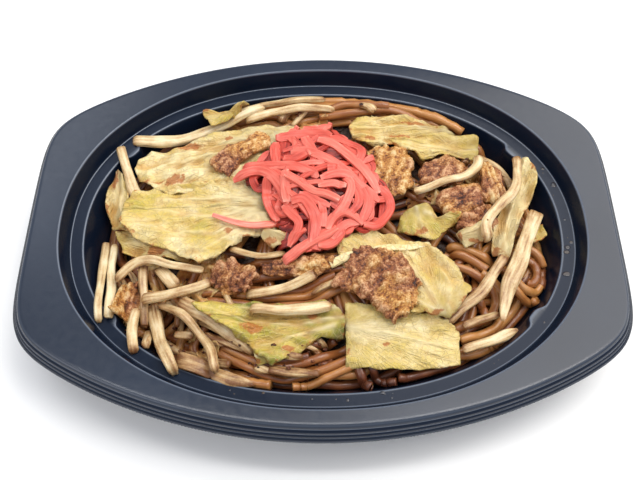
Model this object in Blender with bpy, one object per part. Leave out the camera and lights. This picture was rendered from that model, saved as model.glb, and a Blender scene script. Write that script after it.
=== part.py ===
"""Yakisoba in an oval takeaway tray: fried noodles with cabbage, pork, bean sprouts and red ginger.

Sizes are in millimetres and become metres when a piece is added. The origin is the middle of
the tray's base, +X runs along the tray and +Z is up. The pieces are laid one on another from the
noodles upwards: each comes down on to what is already there, and keeps GAP to it.
"""

import math

import bmesh
import bpy
import numpy as np
from mathutils import Vector, noise
from mathutils.bvhtree import BVHTree

MM = 0.001
GAP = 0.45

# Tray: a thin formed shell. Its lip is a full oval, its rim a barrel with rounded corners.
RIM_TOP = 36.0
RIM_HALF_LENGTH = 124.5
RIM_HALF_WIDTH = 90.0
RIM_ARC = 216.0
RIM_CORNER = 20.0
LIP_HALF_LENGTH = 112.0
LIP_HALF_WIDTH = 83.1
LIP_POWER = 2.15
SHELL = 0.7
SKIRT_DROP = 8.0
SKIRT_FLARE = 3.6
LEDGE_TOP = 28.4
LEDGE_OUTER = 3.3
LEDGE_INNER = 8.6
FOOT_INSET = 20.0
FLOOR_INSET = 24.0
FLOOR_TOP = 0.7
LUG_ANGLE = 25.0
LUG_SPREAD = 2.6
LUG_REACH = 2.6
QUADRANT = (0, 7, 12, 16, 19, 22, 25, 28, 33, 40, 48, 57, 67, 78)

# Noodle heap
HEAP_EDGE = 23.5
HEAP_MIDDLE = 34.0
HEAP_RINGS = (0.95, 0.88, 0.80, 0.71, 0.61, 0.50, 0.38, 0.25, 0.12)
HEAP_RELIEF = 1.3
# How much lower, or higher, the heap's rim is at angles round the tray, in degrees.
RIM_TURNS = (0, 15, 32, 46, 60, 90, 118, 136, 160, 180, 205, 222, 238, 325, 336, 346, 354, 360)
RIM_LIFTS = (-6, -6, -7, -2, 2, 4, 2, -5, -5, -7, -7, -4, 0, 0, -5, 0, -3, -6)

# Toppings
LEAF_RINGS = (1.0, 0.66, 0.33)
PORK_RINGS = (1.0, 0.55)
GINGER_RINGS = (1.0, 0.86, 0.68, 0.48, 0.26)
SPROUT_SIDES = 6
LEAF_STIFFNESS = 2
SPROUT_STIFFNESS = 4
STEP = 1.8
CELL = 0.5


def clear_scene():
    for old in list(bpy.data.objects):
        bpy.data.objects.remove(old, do_unlink=True)


def material(name, colour, roughness):
    """A Principled material with one plain colour."""
    made = bpy.data.materials.new(name)
    made.use_nodes = True
    shader = made.node_tree.nodes["Principled BSDF"]
    shader.inputs["Base Color"].default_value = (*colour, 1.0)
    shader.inputs["Roughness"].default_value = roughness
    shader.inputs["Metallic"].default_value = 0.0
    return made


def face_outwards(bm):
    """Point the faces of a closed mesh out of it."""
    bmesh.ops.recalc_face_normals(bm, faces=bm.faces)
    if bm.calc_volume(signed=True) < 0.0:
        bmesh.ops.reverse_faces(bm, faces=bm.faces)


def add_piece(name, bm, surface):
    """Turn a closed mesh in millimetres into a named object in metres.

    Its faces become triangles here, so that the pile reads the same surface as the solid has.
    """
    bmesh.ops.triangulate(bm, faces=bm.faces)
    face_outwards(bm)
    bmesh.ops.scale(bm, vec=(MM, MM, MM), verts=bm.verts)
    mesh = bpy.data.meshes.new(name)
    bm.to_mesh(mesh)
    bm.free()
    mesh.shade_smooth()
    mesh.materials.append(surface)
    piece = bpy.data.objects.new(name, mesh)
    bpy.context.scene.collection.objects.link(piece)
    return piece


# ---------------------------------------------------------------- tray

def all_angles():
    """The stations round the tray, closest together at the corners of the rim."""
    quarter = list(QUADRANT)
    half = quarter + [90] + [180 - angle for angle in reversed(quarter[1:])]
    return [math.radians(angle) for angle in half + [angle + 180 for angle in half]]


def lip_radius(angle, inset):
    """The oval, moved inwards by inset."""
    across = abs(math.cos(angle)) / (LIP_HALF_LENGTH - inset)
    along = abs(math.sin(angle)) / (LIP_HALF_WIDTH - inset)
    return (across ** LIP_POWER + along ** LIP_POWER) ** (-1.0 / LIP_POWER)


def rim_radius(angle, inset):
    """A long arc at front and back and a straight end, met by a rounded corner."""
    rise = abs(math.sin(angle))
    centre = RIM_ARC - RIM_HALF_WIDTH
    arc = RIM_ARC - inset
    to_arc = -centre * rise + math.sqrt((centre * rise) ** 2 + arc ** 2 - centre ** 2)
    to_end = (RIM_HALF_LENGTH - inset) / max(abs(math.cos(angle)), 1e-6)
    return (to_arc ** -RIM_CORNER + to_end ** -RIM_CORNER) ** (-1.0 / RIM_CORNER)


def lug(angle):
    """1 at the four stacking lugs on the inner edge of the ledge, and 0 between them."""
    folded = abs(math.degrees(math.atan2(abs(math.sin(angle)), abs(math.cos(angle)))) - LUG_ANGLE)
    return math.exp(-(folded / LUG_SPREAD) ** 2)


def tray_section():
    """The upper side from the foot of the skirt to the floor, as (outline, inset, height)."""
    return [
        ("rim", -SKIRT_FLARE, RIM_TOP - SKIRT_DROP),
        ("rim", -SKIRT_FLARE + 1.1, RIM_TOP - SKIRT_DROP + 2.6),
        ("rim", -SKIRT_FLARE + 2.3, RIM_TOP - 2.3),
        ("rim", -0.5, RIM_TOP - 1.9),
        ("rim", 0.4, RIM_TOP - 0.2),
        ("rim", 1.6, RIM_TOP),
        ("lip", -0.5, RIM_TOP),
        ("lip", 0.2, RIM_TOP - 0.5),
        ("lip", LEDGE_OUTER, LEDGE_TOP),
        ("lip", LEDGE_INNER, LEDGE_TOP - 0.2),
        ("lip", LEDGE_INNER + 1.0, LEDGE_TOP - 1.6),
        ("lip", FOOT_INSET, FLOOR_TOP + 3.0),
        ("lip", FLOOR_INSET, FLOOR_TOP),
    ]


def lower_side(section):
    """The same section moved down and outwards by the shell's thickness."""
    flat = [Vector((inset, height)) for outline, inset, height in section]
    moved = []
    for index, (outline, inset, height) in enumerate(section):
        normals = []
        for first, second in ((index - 1, index), (index, index + 1)):
            inside = 0 <= first and second < len(section)
            if inside and section[first][0] == section[second][0]:
                run = (flat[second] - flat[first]).normalized()
                normals.append(Vector((-run.y, run.x)))
            elif first >= 0:
                normals.append(Vector((0.0, 1.0)))
        mean = sum(normals, Vector((0.0, 0.0))).normalized()
        reach = SHELL / max(mean.dot(normals[0]), 0.5)
        point = flat[index] - mean * reach
        moved.append((outline, point.x, max(point.y, 0.0)))
    return moved


def tray_loop(bm, outline, inset, height):
    """One closed loop of vertices and edges round the tray."""
    radius = rim_radius if outline == "rim" else lip_radius
    verts = []
    for angle in all_angles():
        push = LUG_REACH * lug(angle) if abs(inset - LEDGE_INNER) < 1.2 else 0.0
        reach = radius(angle, inset + push)
        verts.append(bm.verts.new((reach * math.cos(angle), reach * math.sin(angle), height)))
    return [bm.edges.new((verts[i - 1], verts[i])) for i in range(len(verts))]


def make_tray(surface):
    bm = bmesh.new()
    upper = tray_section()
    loops = [tray_loop(bm, *station) for station in upper]
    under = [tray_loop(bm, *station) for station in reversed(lower_side(upper))]
    bmesh.ops.edgeloop_fill(bm, edges=loops[-1])
    bmesh.ops.edgeloop_fill(bm, edges=under[0])
    for outer, inner in zip(loops, loops[1:]):
        bmesh.ops.bridge_loops(bm, edges=outer + inner)
    for inner, outer in zip(under, under[1:]):
        bmesh.ops.bridge_loops(bm, edges=inner + outer)
    bmesh.ops.bridge_loops(bm, edges=under[-1] + loops[0])
    return add_piece("tray", bm, surface)


# ---------------------------------------------------------------- laying pieces on the pile

class Pile:
    """Heights of what has been laid so far, on a grid with a node every CELL."""

    def __init__(self):
        self.half = (round(130 / CELL), round(95 / CELL))
        self.top = np.zeros((2 * self.half[0] + 1, 2 * self.half[1] + 1))

    def add(self, piece):
        """Raise the grid to the piece's upper side wherever the piece is."""
        tree = BVHTree.FromPolygons([v.co / MM for v in piece.data.vertices],
                                    [p.vertices[:] for p in piece.data.polygons])
        corners = np.array([v.co / (MM * CELL) for v in piece.data.vertices])
        low = np.floor(corners.min(axis=0)).astype(int)
        high = np.ceil(corners.max(axis=0)).astype(int)
        for x in range(low[0], high[0] + 1):
            for y in range(low[1], high[1] + 1):
                above = Vector((x * CELL + 1e-3, y * CELL + 1e-3, 200.0))
                hit = tree.ray_cast(above, Vector((0, 0, -1)))[0]
                if hit is not None:
                    i, j = x + self.half[0], y + self.half[1]
                    self.top[i, j] = max(self.top[i, j], hit.z)

    def height(self, x, y):
        """The highest node next to a place, so that slopes between nodes are cleared too."""
        i = round(x / CELL) + self.half[0]
        j = round(y / CELL) + self.half[1]
        return self.top[i - 1:i + 2, j - 1:j + 2].max()


def samples(face):
    """Points on a triangle about STEP apart, each with its share of the three corners."""
    a, b, c = (v.co for v in face.verts)
    size = max((a - b).length, (b - c).length, (c - a).length)
    n = max(1, math.ceil(size / STEP))
    for i in range(n + 1):
        for j in range(n + 1 - i):
            shares = (i / n, j / n, 1.0 - (i + j) / n)
            yield shares, a * shares[0] + b * shares[1] + c * shares[2]


def settle(bm, columns, pile, stiffness):
    """Raise each column of vertices until the piece clears the pile and lies on it.

    A stiff piece is smoothed upwards along its length, so that it bridges the dips below it.
    """
    bm.normal_update()
    column_of = {vert: index for index, column in enumerate(columns) for vert in column}
    lift = np.full(len(columns), -100.0)
    touches = []
    under = [face for face in bm.faces if face.normal.z < -0.05]
    for face in bmesh.ops.triangulate(bm, faces=under)["faces"]:
        at = [column_of[vert] for vert in face.verts]
        for shares, point in samples(face):
            need = pile.height(point.x, point.y) + GAP - point.z
            touches.append((at, np.array(shares), need))
            for index, share in zip(at, shares):
                if share > 0.99:
                    lift[index] = max(lift[index], need)
    near = [set() for column in columns]
    for edge in bm.edges:
        i, j = (column_of[vert] for vert in edge.verts)
        if i != j:
            near[i].add(j)
            near[j].add(i)
    for index, found in enumerate(lift):
        if found < -99.0:
            lift[index] = max(lift[j] for j in near[index])
    for sweep in range(stiffness):
        mean = np.array([np.mean([lift[j] for j in near[i]]) for i in range(len(columns))])
        lift = np.maximum(lift, mean)
    for sweep in range(12):
        for at, shares, need in touches:
            short = need - (lift[at] * shares).sum()
            if short > 0.0:
                lift[at] += short * shares / (shares ** 2).sum()
    for column, rise in zip(columns, lift):
        for vert in column:
            vert.co.z += rise
    return bm


# ---------------------------------------------------------------- noodles

def bump(x, y, place, size, height):
    """A smooth hill or hollow of a given half width."""
    return height * math.exp(-((x - place[0]) / size[0]) ** 2 - ((y - place[1]) / size[1]) ** 2)


def loop_ridge(x, y, centre, radius, width, height):
    """A ring of coiled noodles."""
    off = math.hypot(x - centre[0], y - centre[1]) - radius
    return height * math.exp(-(off / width) ** 2)


def noodle_height(x, y, share):
    """The top of the heap: a low mound with bundles that follow the tray, loops and hollows."""
    mound = HEAP_EDGE + (HEAP_MIDDLE - HEAP_EDGE) * (1.0 - share ** 2) ** 0.7
    height = mound
    height += bump(x, y, (33, 66), (32, 8), 6.5)
    height += bump(x, y, (-25, 62), (28, 8), 2.5)
    height += bump(x, y, (0, -66), (62, 6), 2.0)
    height += bump(x, y, (45, -62), (30, 7), 1.5)
    height += loop_ridge(x, y, (87, -21), 9, 4.5, 3.5)
    height += bump(x, y, (60, -25), (16, 12), 1.5)
    height += bump(x, y, (-24, -28), (24, 8), -4.0)
    height += bump(x, y, (-84, 20), (9, 22), -2.5)
    height += bump(x, y, (-70, -42), (20, 18), -5.0)
    height += HEAP_RELIEF * noise.noise(Vector((x / 9.0, y / 6.0, 2.0)))
    height += rim_lift(math.atan2(y, x)) * max(0.0, (share - 0.74) / 0.26) ** 1.5
    return height


def wall_inset(height):
    """How far inside the lip the basin wall stands at a height, with the gap to the food."""
    share = (height - FLOOR_TOP - 3.0) / (LEDGE_TOP - 1.6 - FLOOR_TOP - 3.0)
    return FOOT_INSET + share * (LEDGE_INNER + 1.0 - FOOT_INSET) + GAP + 0.15


def rim_lift(angle):
    return float(np.interp(math.degrees(angle) % 360.0, RIM_TURNS, RIM_LIFTS))


def heap_rim(angle):
    """The wavy line where the noodles meet the wall."""
    wave = noise.noise(Vector((3.0 * math.cos(angle), 3.0 * math.sin(angle), 5.0)))
    return HEAP_EDGE - 1.0 + 1.5 * wave + rim_lift(angle)


def heap_loop(bm, share):
    verts = []
    for angle in all_angles():
        rim = heap_rim(angle)
        reach = lip_radius(angle, wall_inset(rim) + LUG_REACH * lug(angle)) * share
        x, y = reach * math.cos(angle), reach * math.sin(angle)
        height = rim if share == 1.0 else noodle_height(x, y, share)
        verts.append(bm.verts.new((x, y, height)))
    return [bm.edges.new((verts[i - 1], verts[i])) for i in range(len(verts))]


def make_noodles(surface):
    bm = bmesh.new()
    low = FLOOR_TOP + GAP
    loops = [tray_loop(bm, "lip", FLOOR_INSET + GAP, low),
             tray_loop(bm, "lip", wall_inset(FLOOR_TOP + 3.4), FLOOR_TOP + 3.4)]
    loops += [heap_loop(bm, share) for share in (1.0,) + HEAP_RINGS]
    bmesh.ops.edgeloop_fill(bm, edges=loops[0])
    for outer, inner in zip(loops, loops[1:]):
        bmesh.ops.bridge_loops(bm, edges=outer + inner)
    cap = bmesh.ops.edgeloop_fill(bm, edges=loops[-1])["faces"]
    bmesh.ops.poke(bm, faces=cap)
    return add_piece("noodles", bm, surface)


# ---------------------------------------------------------------- flat toppings

def outline_points(corners, spacing):
    """The corners of a cut piece, with further points along its longer sides."""
    points = []
    for start, end in zip(corners, corners[1:] + corners[:1]):
        start, end = Vector(start), Vector(end)
        parts = max(1, round((end - start).length / spacing))
        points += [start.lerp(end, part / parts) for part in range(parts)]
    return points


def slab(corners, spacing, rings, thick, crown, crumple, seed):
    """A flat closed piece as rings round its middle, and its columns of vertices.

    It is thickest at the middle by crown, and crumple is the height of its waves.
    """
    bm = bmesh.new()
    edge = outline_points(corners, spacing)
    middle = sum(edge, Vector((0, 0))) / len(edge)
    columns = []
    levels = []
    for share in rings:
        level = []
        for point in edge:
            spot = middle.lerp(point, share)
            wave = crumple * (1.0 + noise.noise(Vector((spot.x / 11.0, spot.y / 11.0, seed))))
            body = thick + crown * (1.0 - share ** 2)
            low = bm.verts.new((spot.x, spot.y, wave))
            high = bm.verts.new((spot.x, spot.y, wave + body))
            level.append((low, high))
            columns.append((low, high))
        levels.append(level)
    low = bm.verts.new((middle.x, middle.y, crumple))
    high = bm.verts.new((middle.x, middle.y, crumple + thick + crown))
    columns.append((low, high))
    for i in range(len(edge)):
        for outer, inner in zip(levels, levels[1:]):
            bm.faces.new((outer[i - 1][1], outer[i][1], inner[i][1], inner[i - 1][1]))
            bm.faces.new((outer[i][0], outer[i - 1][0], inner[i - 1][0], inner[i][0]))
        bm.faces.new((levels[-1][i - 1][1], levels[-1][i][1], high))
        bm.faces.new((levels[-1][i][0], levels[-1][i - 1][0], low))
        bm.faces.new((levels[0][i - 1][0], levels[0][i][0], levels[0][i][1], levels[0][i - 1][1]))
    face_outwards(bm)
    return bm, columns


def lay_slab(name, surface, pile, corners, spacing, rings, thick, crown, crumple, seed):
    bm, columns = slab(corners, spacing, rings, thick, crown, crumple, seed)
    settle(bm, columns, pile, LEAF_STIFFNESS)
    piece = add_piece(name, bm, surface)
    pile.add(piece)
    return piece


# ---------------------------------------------------------------- strands

def curve_points(route, count):
    """Points evenly spread along a smooth line through the route's own points."""
    ends = [Vector(p) for p in route]
    ends = [ends[0] * 2 - ends[1]] + ends + [ends[-1] * 2 - ends[-2]]
    fine = []
    for a, b, c, d in zip(ends, ends[1:], ends[2:], ends[3:]):
        for part in range(12):
            t = part / 12.0
            fine.append(0.5 * (2 * b + (c - a) * t + (2 * a - 5 * b + 4 * c - d) * t ** 2
                               + (3 * b - a - 3 * c + d) * t ** 3))
    fine.append(ends[-2])
    run = np.cumsum([0.0] + [(q - p).length for p, q in zip(fine, fine[1:])])
    at = np.linspace(0.0, run[-1], count)
    xs = np.interp(at, run, [p.x for p in fine])
    ys = np.interp(at, run, [p.y for p in fine])
    return [Vector((x, y)) for x, y in zip(xs, ys)]


def strand(route, radius, count):
    """A round strand with blunt ends, lying flat, and its rings of vertices."""
    bm = bmesh.new()
    path = curve_points(route, count)
    rings = []
    for index, point in enumerate(path):
        after = path[min(index + 1, count - 1)]
        before = path[max(index - 1, 0)]
        side = (after - before).normalized()
        side = Vector((-side.y, side.x))
        slim = 0.72 if index in (0, count - 1) else 1.0
        ring = []
        for corner in range(SPROUT_SIDES):
            turn = math.tau * (corner + 0.5) / SPROUT_SIDES
            off = side * math.cos(turn) * radius * slim
            height = math.sin(turn) * radius * slim
            ring.append(bm.verts.new((point.x + off.x, point.y + off.y, height)))
        rings.append(ring)
    for first, second in zip(rings, rings[1:]):
        for i in range(SPROUT_SIDES):
            bm.faces.new((first[i - 1], first[i], second[i], second[i - 1]))
    bm.faces.new(rings[0])
    bm.faces.new(rings[-1])
    face_outwards(bm)
    return bm, rings


def lay_strand(name, surface, pile, route, radius, count=7):
    bm, rings = strand(route, radius, count)
    settle(bm, rings, pile, SPROUT_STIFFNESS)
    piece = add_piece(name, bm, surface)
    pile.add(piece)
    return piece


# ---------------------------------------------------------------- the toppings and their places

LEAF = dict(spacing=9.0, rings=LEAF_RINGS, thick=1.1, crown=0.5, crumple=0.7)
STEM = dict(spacing=7.0, rings=(1.0, 0.5), thick=2.6, crown=1.2, crumple=0.2)
MEAT = dict(spacing=8.0, rings=PORK_RINGS, thick=2.4, crown=1.6, crumple=0.8)
CRUMB = dict(spacing=7.0, rings=PORK_RINGS, thick=3.0, crown=2.4, crumple=0.5)

CABBAGE = {
    "cabbage_big_left": (LEAF, [(-87, 11), (-73, 16), (-57, 17), (-42, 20), (-30, 21), (-25, 7),
                                (-20, -5), (-33, -9), (-43, -17), (-51, -21), (-64, -14),
                                (-79, -9), (-87, -1)]),
    "cabbage_back_left": (LEAF, [(-83, 36), (-68, 39), (-45, 45), (-26, 50), (-12, 49), (-20, 36),
                                 (-34, 26), (-52, 19), (-68, 19), (-84, 29)]),
    "cabbage_back_scrap": (LEAF, [(-57, 63), (-48, 65), (-34, 65), (-36, 60), (-42, 55),
                                  (-50, 50), (-55, 55)]),
    "cabbage_left_fold": (LEAF, [(-93, 32), (-96, 24), (-96, 12), (-92, 2), (-82, -3), (-80, 2),
                                 (-87, 13), (-88, 23)]),
    "cabbage_left_under": (LEAF, [(-91, 0), (-76, 0), (-60, -12), (-54, -18), (-68, -16),
                                  (-86, -11)]),
    "cabbage_front_green": (LEAF, [(-54, -38), (-44, -36), (-30, -37), (-14, -38), (2, -36),
                                   (10, -44), (8, -53), (0, -52), (-10, -58), (-20, -64),
                                   (-31, -55), (-43, -47)]),
    "cabbage_back_pale": (LEAF, [(12, 51), (15, 57), (26, 58), (42, 59), (56, 56), (63, 51),
                                 (48, 48), (37, 45), (29, 42), (18, 42), (13, 45)]),
    "cabbage_back_yellow": (LEAF, [(30, 42), (40, 46), (56, 50), (73, 50), (71, 37), (58, 38),
                                   (45, 34), (38, 37)]),
    "cabbage_small_green": (LEAF, [(31, -4), (33, 4), (45, 9), (50, 2), (59, 1), (47, -9)]),
    "cabbage_right_ragged": (LEAF, [(6, -9), (17, -4), (30, -8), (41, -10), (54, -18), (60, -31),
                                    (57, -39), (50, -46), (36, -42), (20, -34), (8, -22)]),
    "cabbage_front_square": (LEAF, [(9, -37), (30, -38), (50, -45), (55, -49), (54, -63),
                                    (32, -65), (9, -64)]),
    "cabbage_right_tall": (LEAF, [(90, 37), (93, 36), (96, 27), (93, 17), (89, 9), (83, -4),
                                  (78, -18), (71, -16), (73, -1), (79, 10), (86, 22)]),
    "cabbage_right_stem": (STEM, [(56, -6), (68, 0), (71, -7), (60, -13)]),
    "cabbage_right_curl": (LEAF, [(91, 4), (97, 5), (99, 0), (92, -5)]),
}

PORK = {
    "pork_back_left": (MEAT, [(-51, 31), (-43, 39), (-35, 42), (-29, 48), (-24, 45), (-24, 39),
                              (-36, 31), (-41, 22), (-48, 27)]),
    "pork_left_crumb": (CRUMB, [(-47, -23), (-36, -19), (-28, -24), (-32, -34), (-44, -31)]),
    "pork_front_large": (MEAT, [(12, -15), (20, -14), (33, -18), (40, -30), (36, -42), (29, -48),
                                (18, -38), (5, -31)]),
    "pork_back_fatty": (MEAT, [(19, 38), (29, 40), (38, 39), (40, 30), (40, 19), (32, 12),
                               (24, 19), (19, 28)]),
    "pork_back_middle": (MEAT, [(44, 28), (56, 36), (64, 29), (60, 21), (43, 20)]),
    "pork_right_broad": (MEAT, [(50, 12), (58, 18), (68, 18), (69, 8), (56, 1)]),
    "pork_right_ribbed": (MEAT, [(70, 34), (76, 35), (81, 27), (82, 14), (70, 13)]),
    "pork_right_dark": (MEAT, [(57, -2), (62, 5), (69, 10), (77, 9), (72, 0), (64, -3)]),
    "pork_middle_strip": (MEAT, [(-27, -20), (-10, -18), (6, -17), (4, -24), (-22, -26)]),
    "pork_left_flap": (MEAT, [(-86, -25), (-78, -24), (-75, -36), (-80, -43), (-86, -42)]),
}

SPROUTS = {
    "sprout_left_1": (1.7, [(-95, -3), (-94, -23), (-91, -44)]),
    "sprout_left_2": (1.8, [(-91, -5), (-90, -22), (-87, -43)]),
    "sprout_left_arc": (1.8, [(-86, -25), (-80, -19), (-72, -18), (-63, -20), (-50, -22)]),
    "sprout_left_3": (1.8, [(-76, -18), (-75, -32), (-74, -44)]),
    "sprout_left_4": (2.0, [(-77, -38), (-77, -48), (-75, -57)]),
    "sprout_left_5": (1.8, [(-73, -45), (-71, -55)]),
    "sprout_left_6": (2.6, [(-71, -34), (-66, -52), (-58, -66)]),
    "sprout_left_7": (1.8, [(-68, -36), (-58, -41), (-47, -53), (-42, -66)]),
    "sprout_left_8": (2.8, [(-59, -35), (-50, -41), (-38, -50), (-28, -57)]),
    "sprout_left_9": (2.0, [(-74, -35), (-59, -33), (-47, -27)]),
    "sprout_left_10": (2.2, [(-70, -20), (-61, -28)]),
    "sprout_left_11": (1.7, [(-61, -48), (-53, -49)]),
    "sprout_front_1": (3.2, [(-57, -60), (-45, -65)]),
    "sprout_front_2": (2.5, [(-42, -65), (-29, -70)]),
    "sprout_middle_1": (2.0, [(-31, -33), (-17, -31), (-3, -26)]),
    "sprout_middle_2": (1.7, [(-39, -13), (-27, -17), (-16, -15)]),
    "sprout_on_leaf": (2.3, [(-29, -41), (-14, -42), (3, -40)]),
    "sprout_back_1": (2.0, [(-87, 47), (-72, 48), (-55, 53), (-38, 59), (-28, 63)]),
    "sprout_back_2": (1.8, [(-31, 65), (-16, 67), (1, 67)]),
    "sprout_back_3": (1.8, [(-35, 57), (-23, 60), (-10, 62), (5, 62)]),
    "sprout_back_4": (2.3, [(-93, 42), (-91, 37), (-86, 24), (-82, 17)]),
    "sprout_right_1": (2.1, [(88, 36), (87, 28), (84, 17), (76, 6), (69, -3), (69, -10)]),
    "sprout_right_2": (3.4, [(94, 8), (84, -14), (76, -31), (73, -45)]),
    "sprout_right_3": (2.4, [(76, -17), (66, -31), (57, -39), (50, -45)]),
    "sprout_right_4": (2.1, [(56, -56), (68, -52), (79, -48)]),
    "sprout_right_5": (1.7, [(57, -47), (72, -40)]),
    "sprout_right_6": (1.7, [(73, 43), (79, 37), (84, 28), (86, 22)]),
    "sprout_over_pork": (1.9, [(40, 15), (51, 19), (63, 23), (69, 29), (70, 35)]),
}

GINGER = [(-3, 52), (4, 52), (12, 44), (19, 34), (26, 20), (30, 8), (28, -2), (16, -7), (7, -13),
          (-3, -18), (-15, -20), (-17, -8), (-22, 2), (-25, 14), (-38, 18), (-39, 22), (-26, 32),
          (-20, 43), (-10, 50)]
GINGER_STRANDS = {
    "ginger_strand_1": (1.5, [(-47, 3), (-38, -2), (-29, -4), (-22, -3)]),
}

ORDER = [
    "sprout_left_1", "sprout_left_2", "sprout_left_10", "sprout_middle_2", "sprout_left_11",
    "sprout_front_1", "sprout_front_2", "sprout_right_5", "sprout_back_2", "sprout_back_3",
    "sprout_back_1", "cabbage_back_scrap", "pork_middle_strip", "pork_left_flap",
    "sprout_left_3", "sprout_left_4", "sprout_left_5", "sprout_left_6", "sprout_left_8",
    "sprout_left_7", "sprout_left_9", "cabbage_left_under", "sprout_left_arc",
    "sprout_middle_1", "pork_left_crumb", "cabbage_left_fold", "sprout_back_4",
    "cabbage_back_left", "cabbage_big_left", "pork_back_left", "cabbage_front_green",
    "sprout_on_leaf", "pork_right_dark", "pork_back_middle", "pork_right_broad",
    "pork_right_ribbed", "pork_back_fatty", "cabbage_back_pale", "cabbage_back_yellow",
    "sprout_over_pork", "sprout_right_6", "cabbage_right_curl", "sprout_right_2", "cabbage_right_stem",
    "cabbage_right_tall", "sprout_right_1", "sprout_right_3", "sprout_right_4",
    "cabbage_small_green", "cabbage_front_square", "cabbage_right_ragged", "pork_front_large",
]


def lay_toppings(pile, leaf, meat, sprout):
    for seed, name in enumerate(ORDER):
        if name in SPROUTS:
            radius, route = SPROUTS[name]
            lay_strand(name, sprout, pile, route, radius)
            continue
        shape, corners = (CABBAGE | PORK)[name]
        surface = leaf if name in CABBAGE else meat
        lay_slab(name, surface, pile, corners, seed=seed * 3.7, **shape)


def lay_ginger(pile, surface):
    """The mound of ginger, and the loose strand beside it."""
    lay_slab("ginger", surface, pile, GINGER, 8.0, GINGER_RINGS, 2.6, 8.5, 1.2, 41.0)
    for name, (radius, route) in GINGER_STRANDS.items():
        lay_strand(name, surface, pile, route, radius)


def build():
    clear_scene()
    plastic = material("black_plastic", (0.030, 0.036, 0.046), 0.32)
    noodle = material("noodles", (0.30, 0.13, 0.05), 0.45)
    leaf = material("cabbage", (0.80, 0.74, 0.38), 0.45)
    meat = material("pork", (0.38, 0.19, 0.09), 0.55)
    sprout = material("bean_sprout", (0.74, 0.62, 0.42), 0.40)
    ginger = material("red_ginger", (0.86, 0.20, 0.17), 0.40)
    pile = Pile()
    pile.add(make_tray(plastic))
    pile.add(make_noodles(noodle))
    lay_toppings(pile, leaf, meat, sprout)
    lay_ginger(pile, ginger)


build()
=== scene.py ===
"""Looks for yakisoba in a takeaway tray: a formed black tray, fried noodles, cabbage, pork,
bean sprouts and shredded red ginger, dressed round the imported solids.
Lengths are in millimetres until a piece is finished, and metres after that.
"""
import math
import random

import bmesh
import bpy
import numpy as np
from mathutils import Matrix, Vector, noise
from mathutils.bvhtree import BVHTree


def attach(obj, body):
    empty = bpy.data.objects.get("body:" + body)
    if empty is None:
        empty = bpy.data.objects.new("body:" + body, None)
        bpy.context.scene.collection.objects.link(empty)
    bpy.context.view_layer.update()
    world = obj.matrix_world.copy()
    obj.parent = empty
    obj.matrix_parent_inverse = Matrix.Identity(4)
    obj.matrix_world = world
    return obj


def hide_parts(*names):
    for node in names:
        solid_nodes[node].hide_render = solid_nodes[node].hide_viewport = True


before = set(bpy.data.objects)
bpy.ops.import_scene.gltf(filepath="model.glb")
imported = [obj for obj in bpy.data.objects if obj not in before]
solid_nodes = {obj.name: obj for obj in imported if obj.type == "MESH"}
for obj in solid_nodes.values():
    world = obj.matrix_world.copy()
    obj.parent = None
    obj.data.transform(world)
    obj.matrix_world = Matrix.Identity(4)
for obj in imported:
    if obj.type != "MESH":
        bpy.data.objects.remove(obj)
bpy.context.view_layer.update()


# ======================================================================== tray
# The tray is one thin sheet of black polypropylene, vacuum formed over a mould. A wide barrel
# shaped rim with a folded skirt runs round an oval lip, and inside it a narrow ledge with four
# stacking lugs leads down to the basin. The skirt's foot is knurled where it was cut out.
MM = 0.001
RIM_HALF_LENGTH, RIM_HALF_WIDTH, RIM_ARC, RIM_CORNER = 124.5, 90.0, 216.0, 20.0
LIP_HALF_LENGTH, LIP_HALF_WIDTH, LIP_POWER = 112.0, 83.1, 2.15
SHELL = 0.7
LUG_ANGLE, LUG_SPREAD, LUG_REACH, LUG_BAND = 25.0, 2.6, 2.6, (8.0, 9.7)
TRAY_STATIONS = 480
KNURLS, KNURL_STATIONS, KNURL_DEPTH = 490, 1960, 0.16
# Round the knurled foot: how far inside the rim, height, and whether the teeth are cut there.
KNURL_SECTION = [(-3.05, 28.15, False), (-3.40, 27.95, True), (-3.40, 27.05, True),
                 (-3.05, 26.85, False), (-2.80, 27.50, False)]
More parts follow.
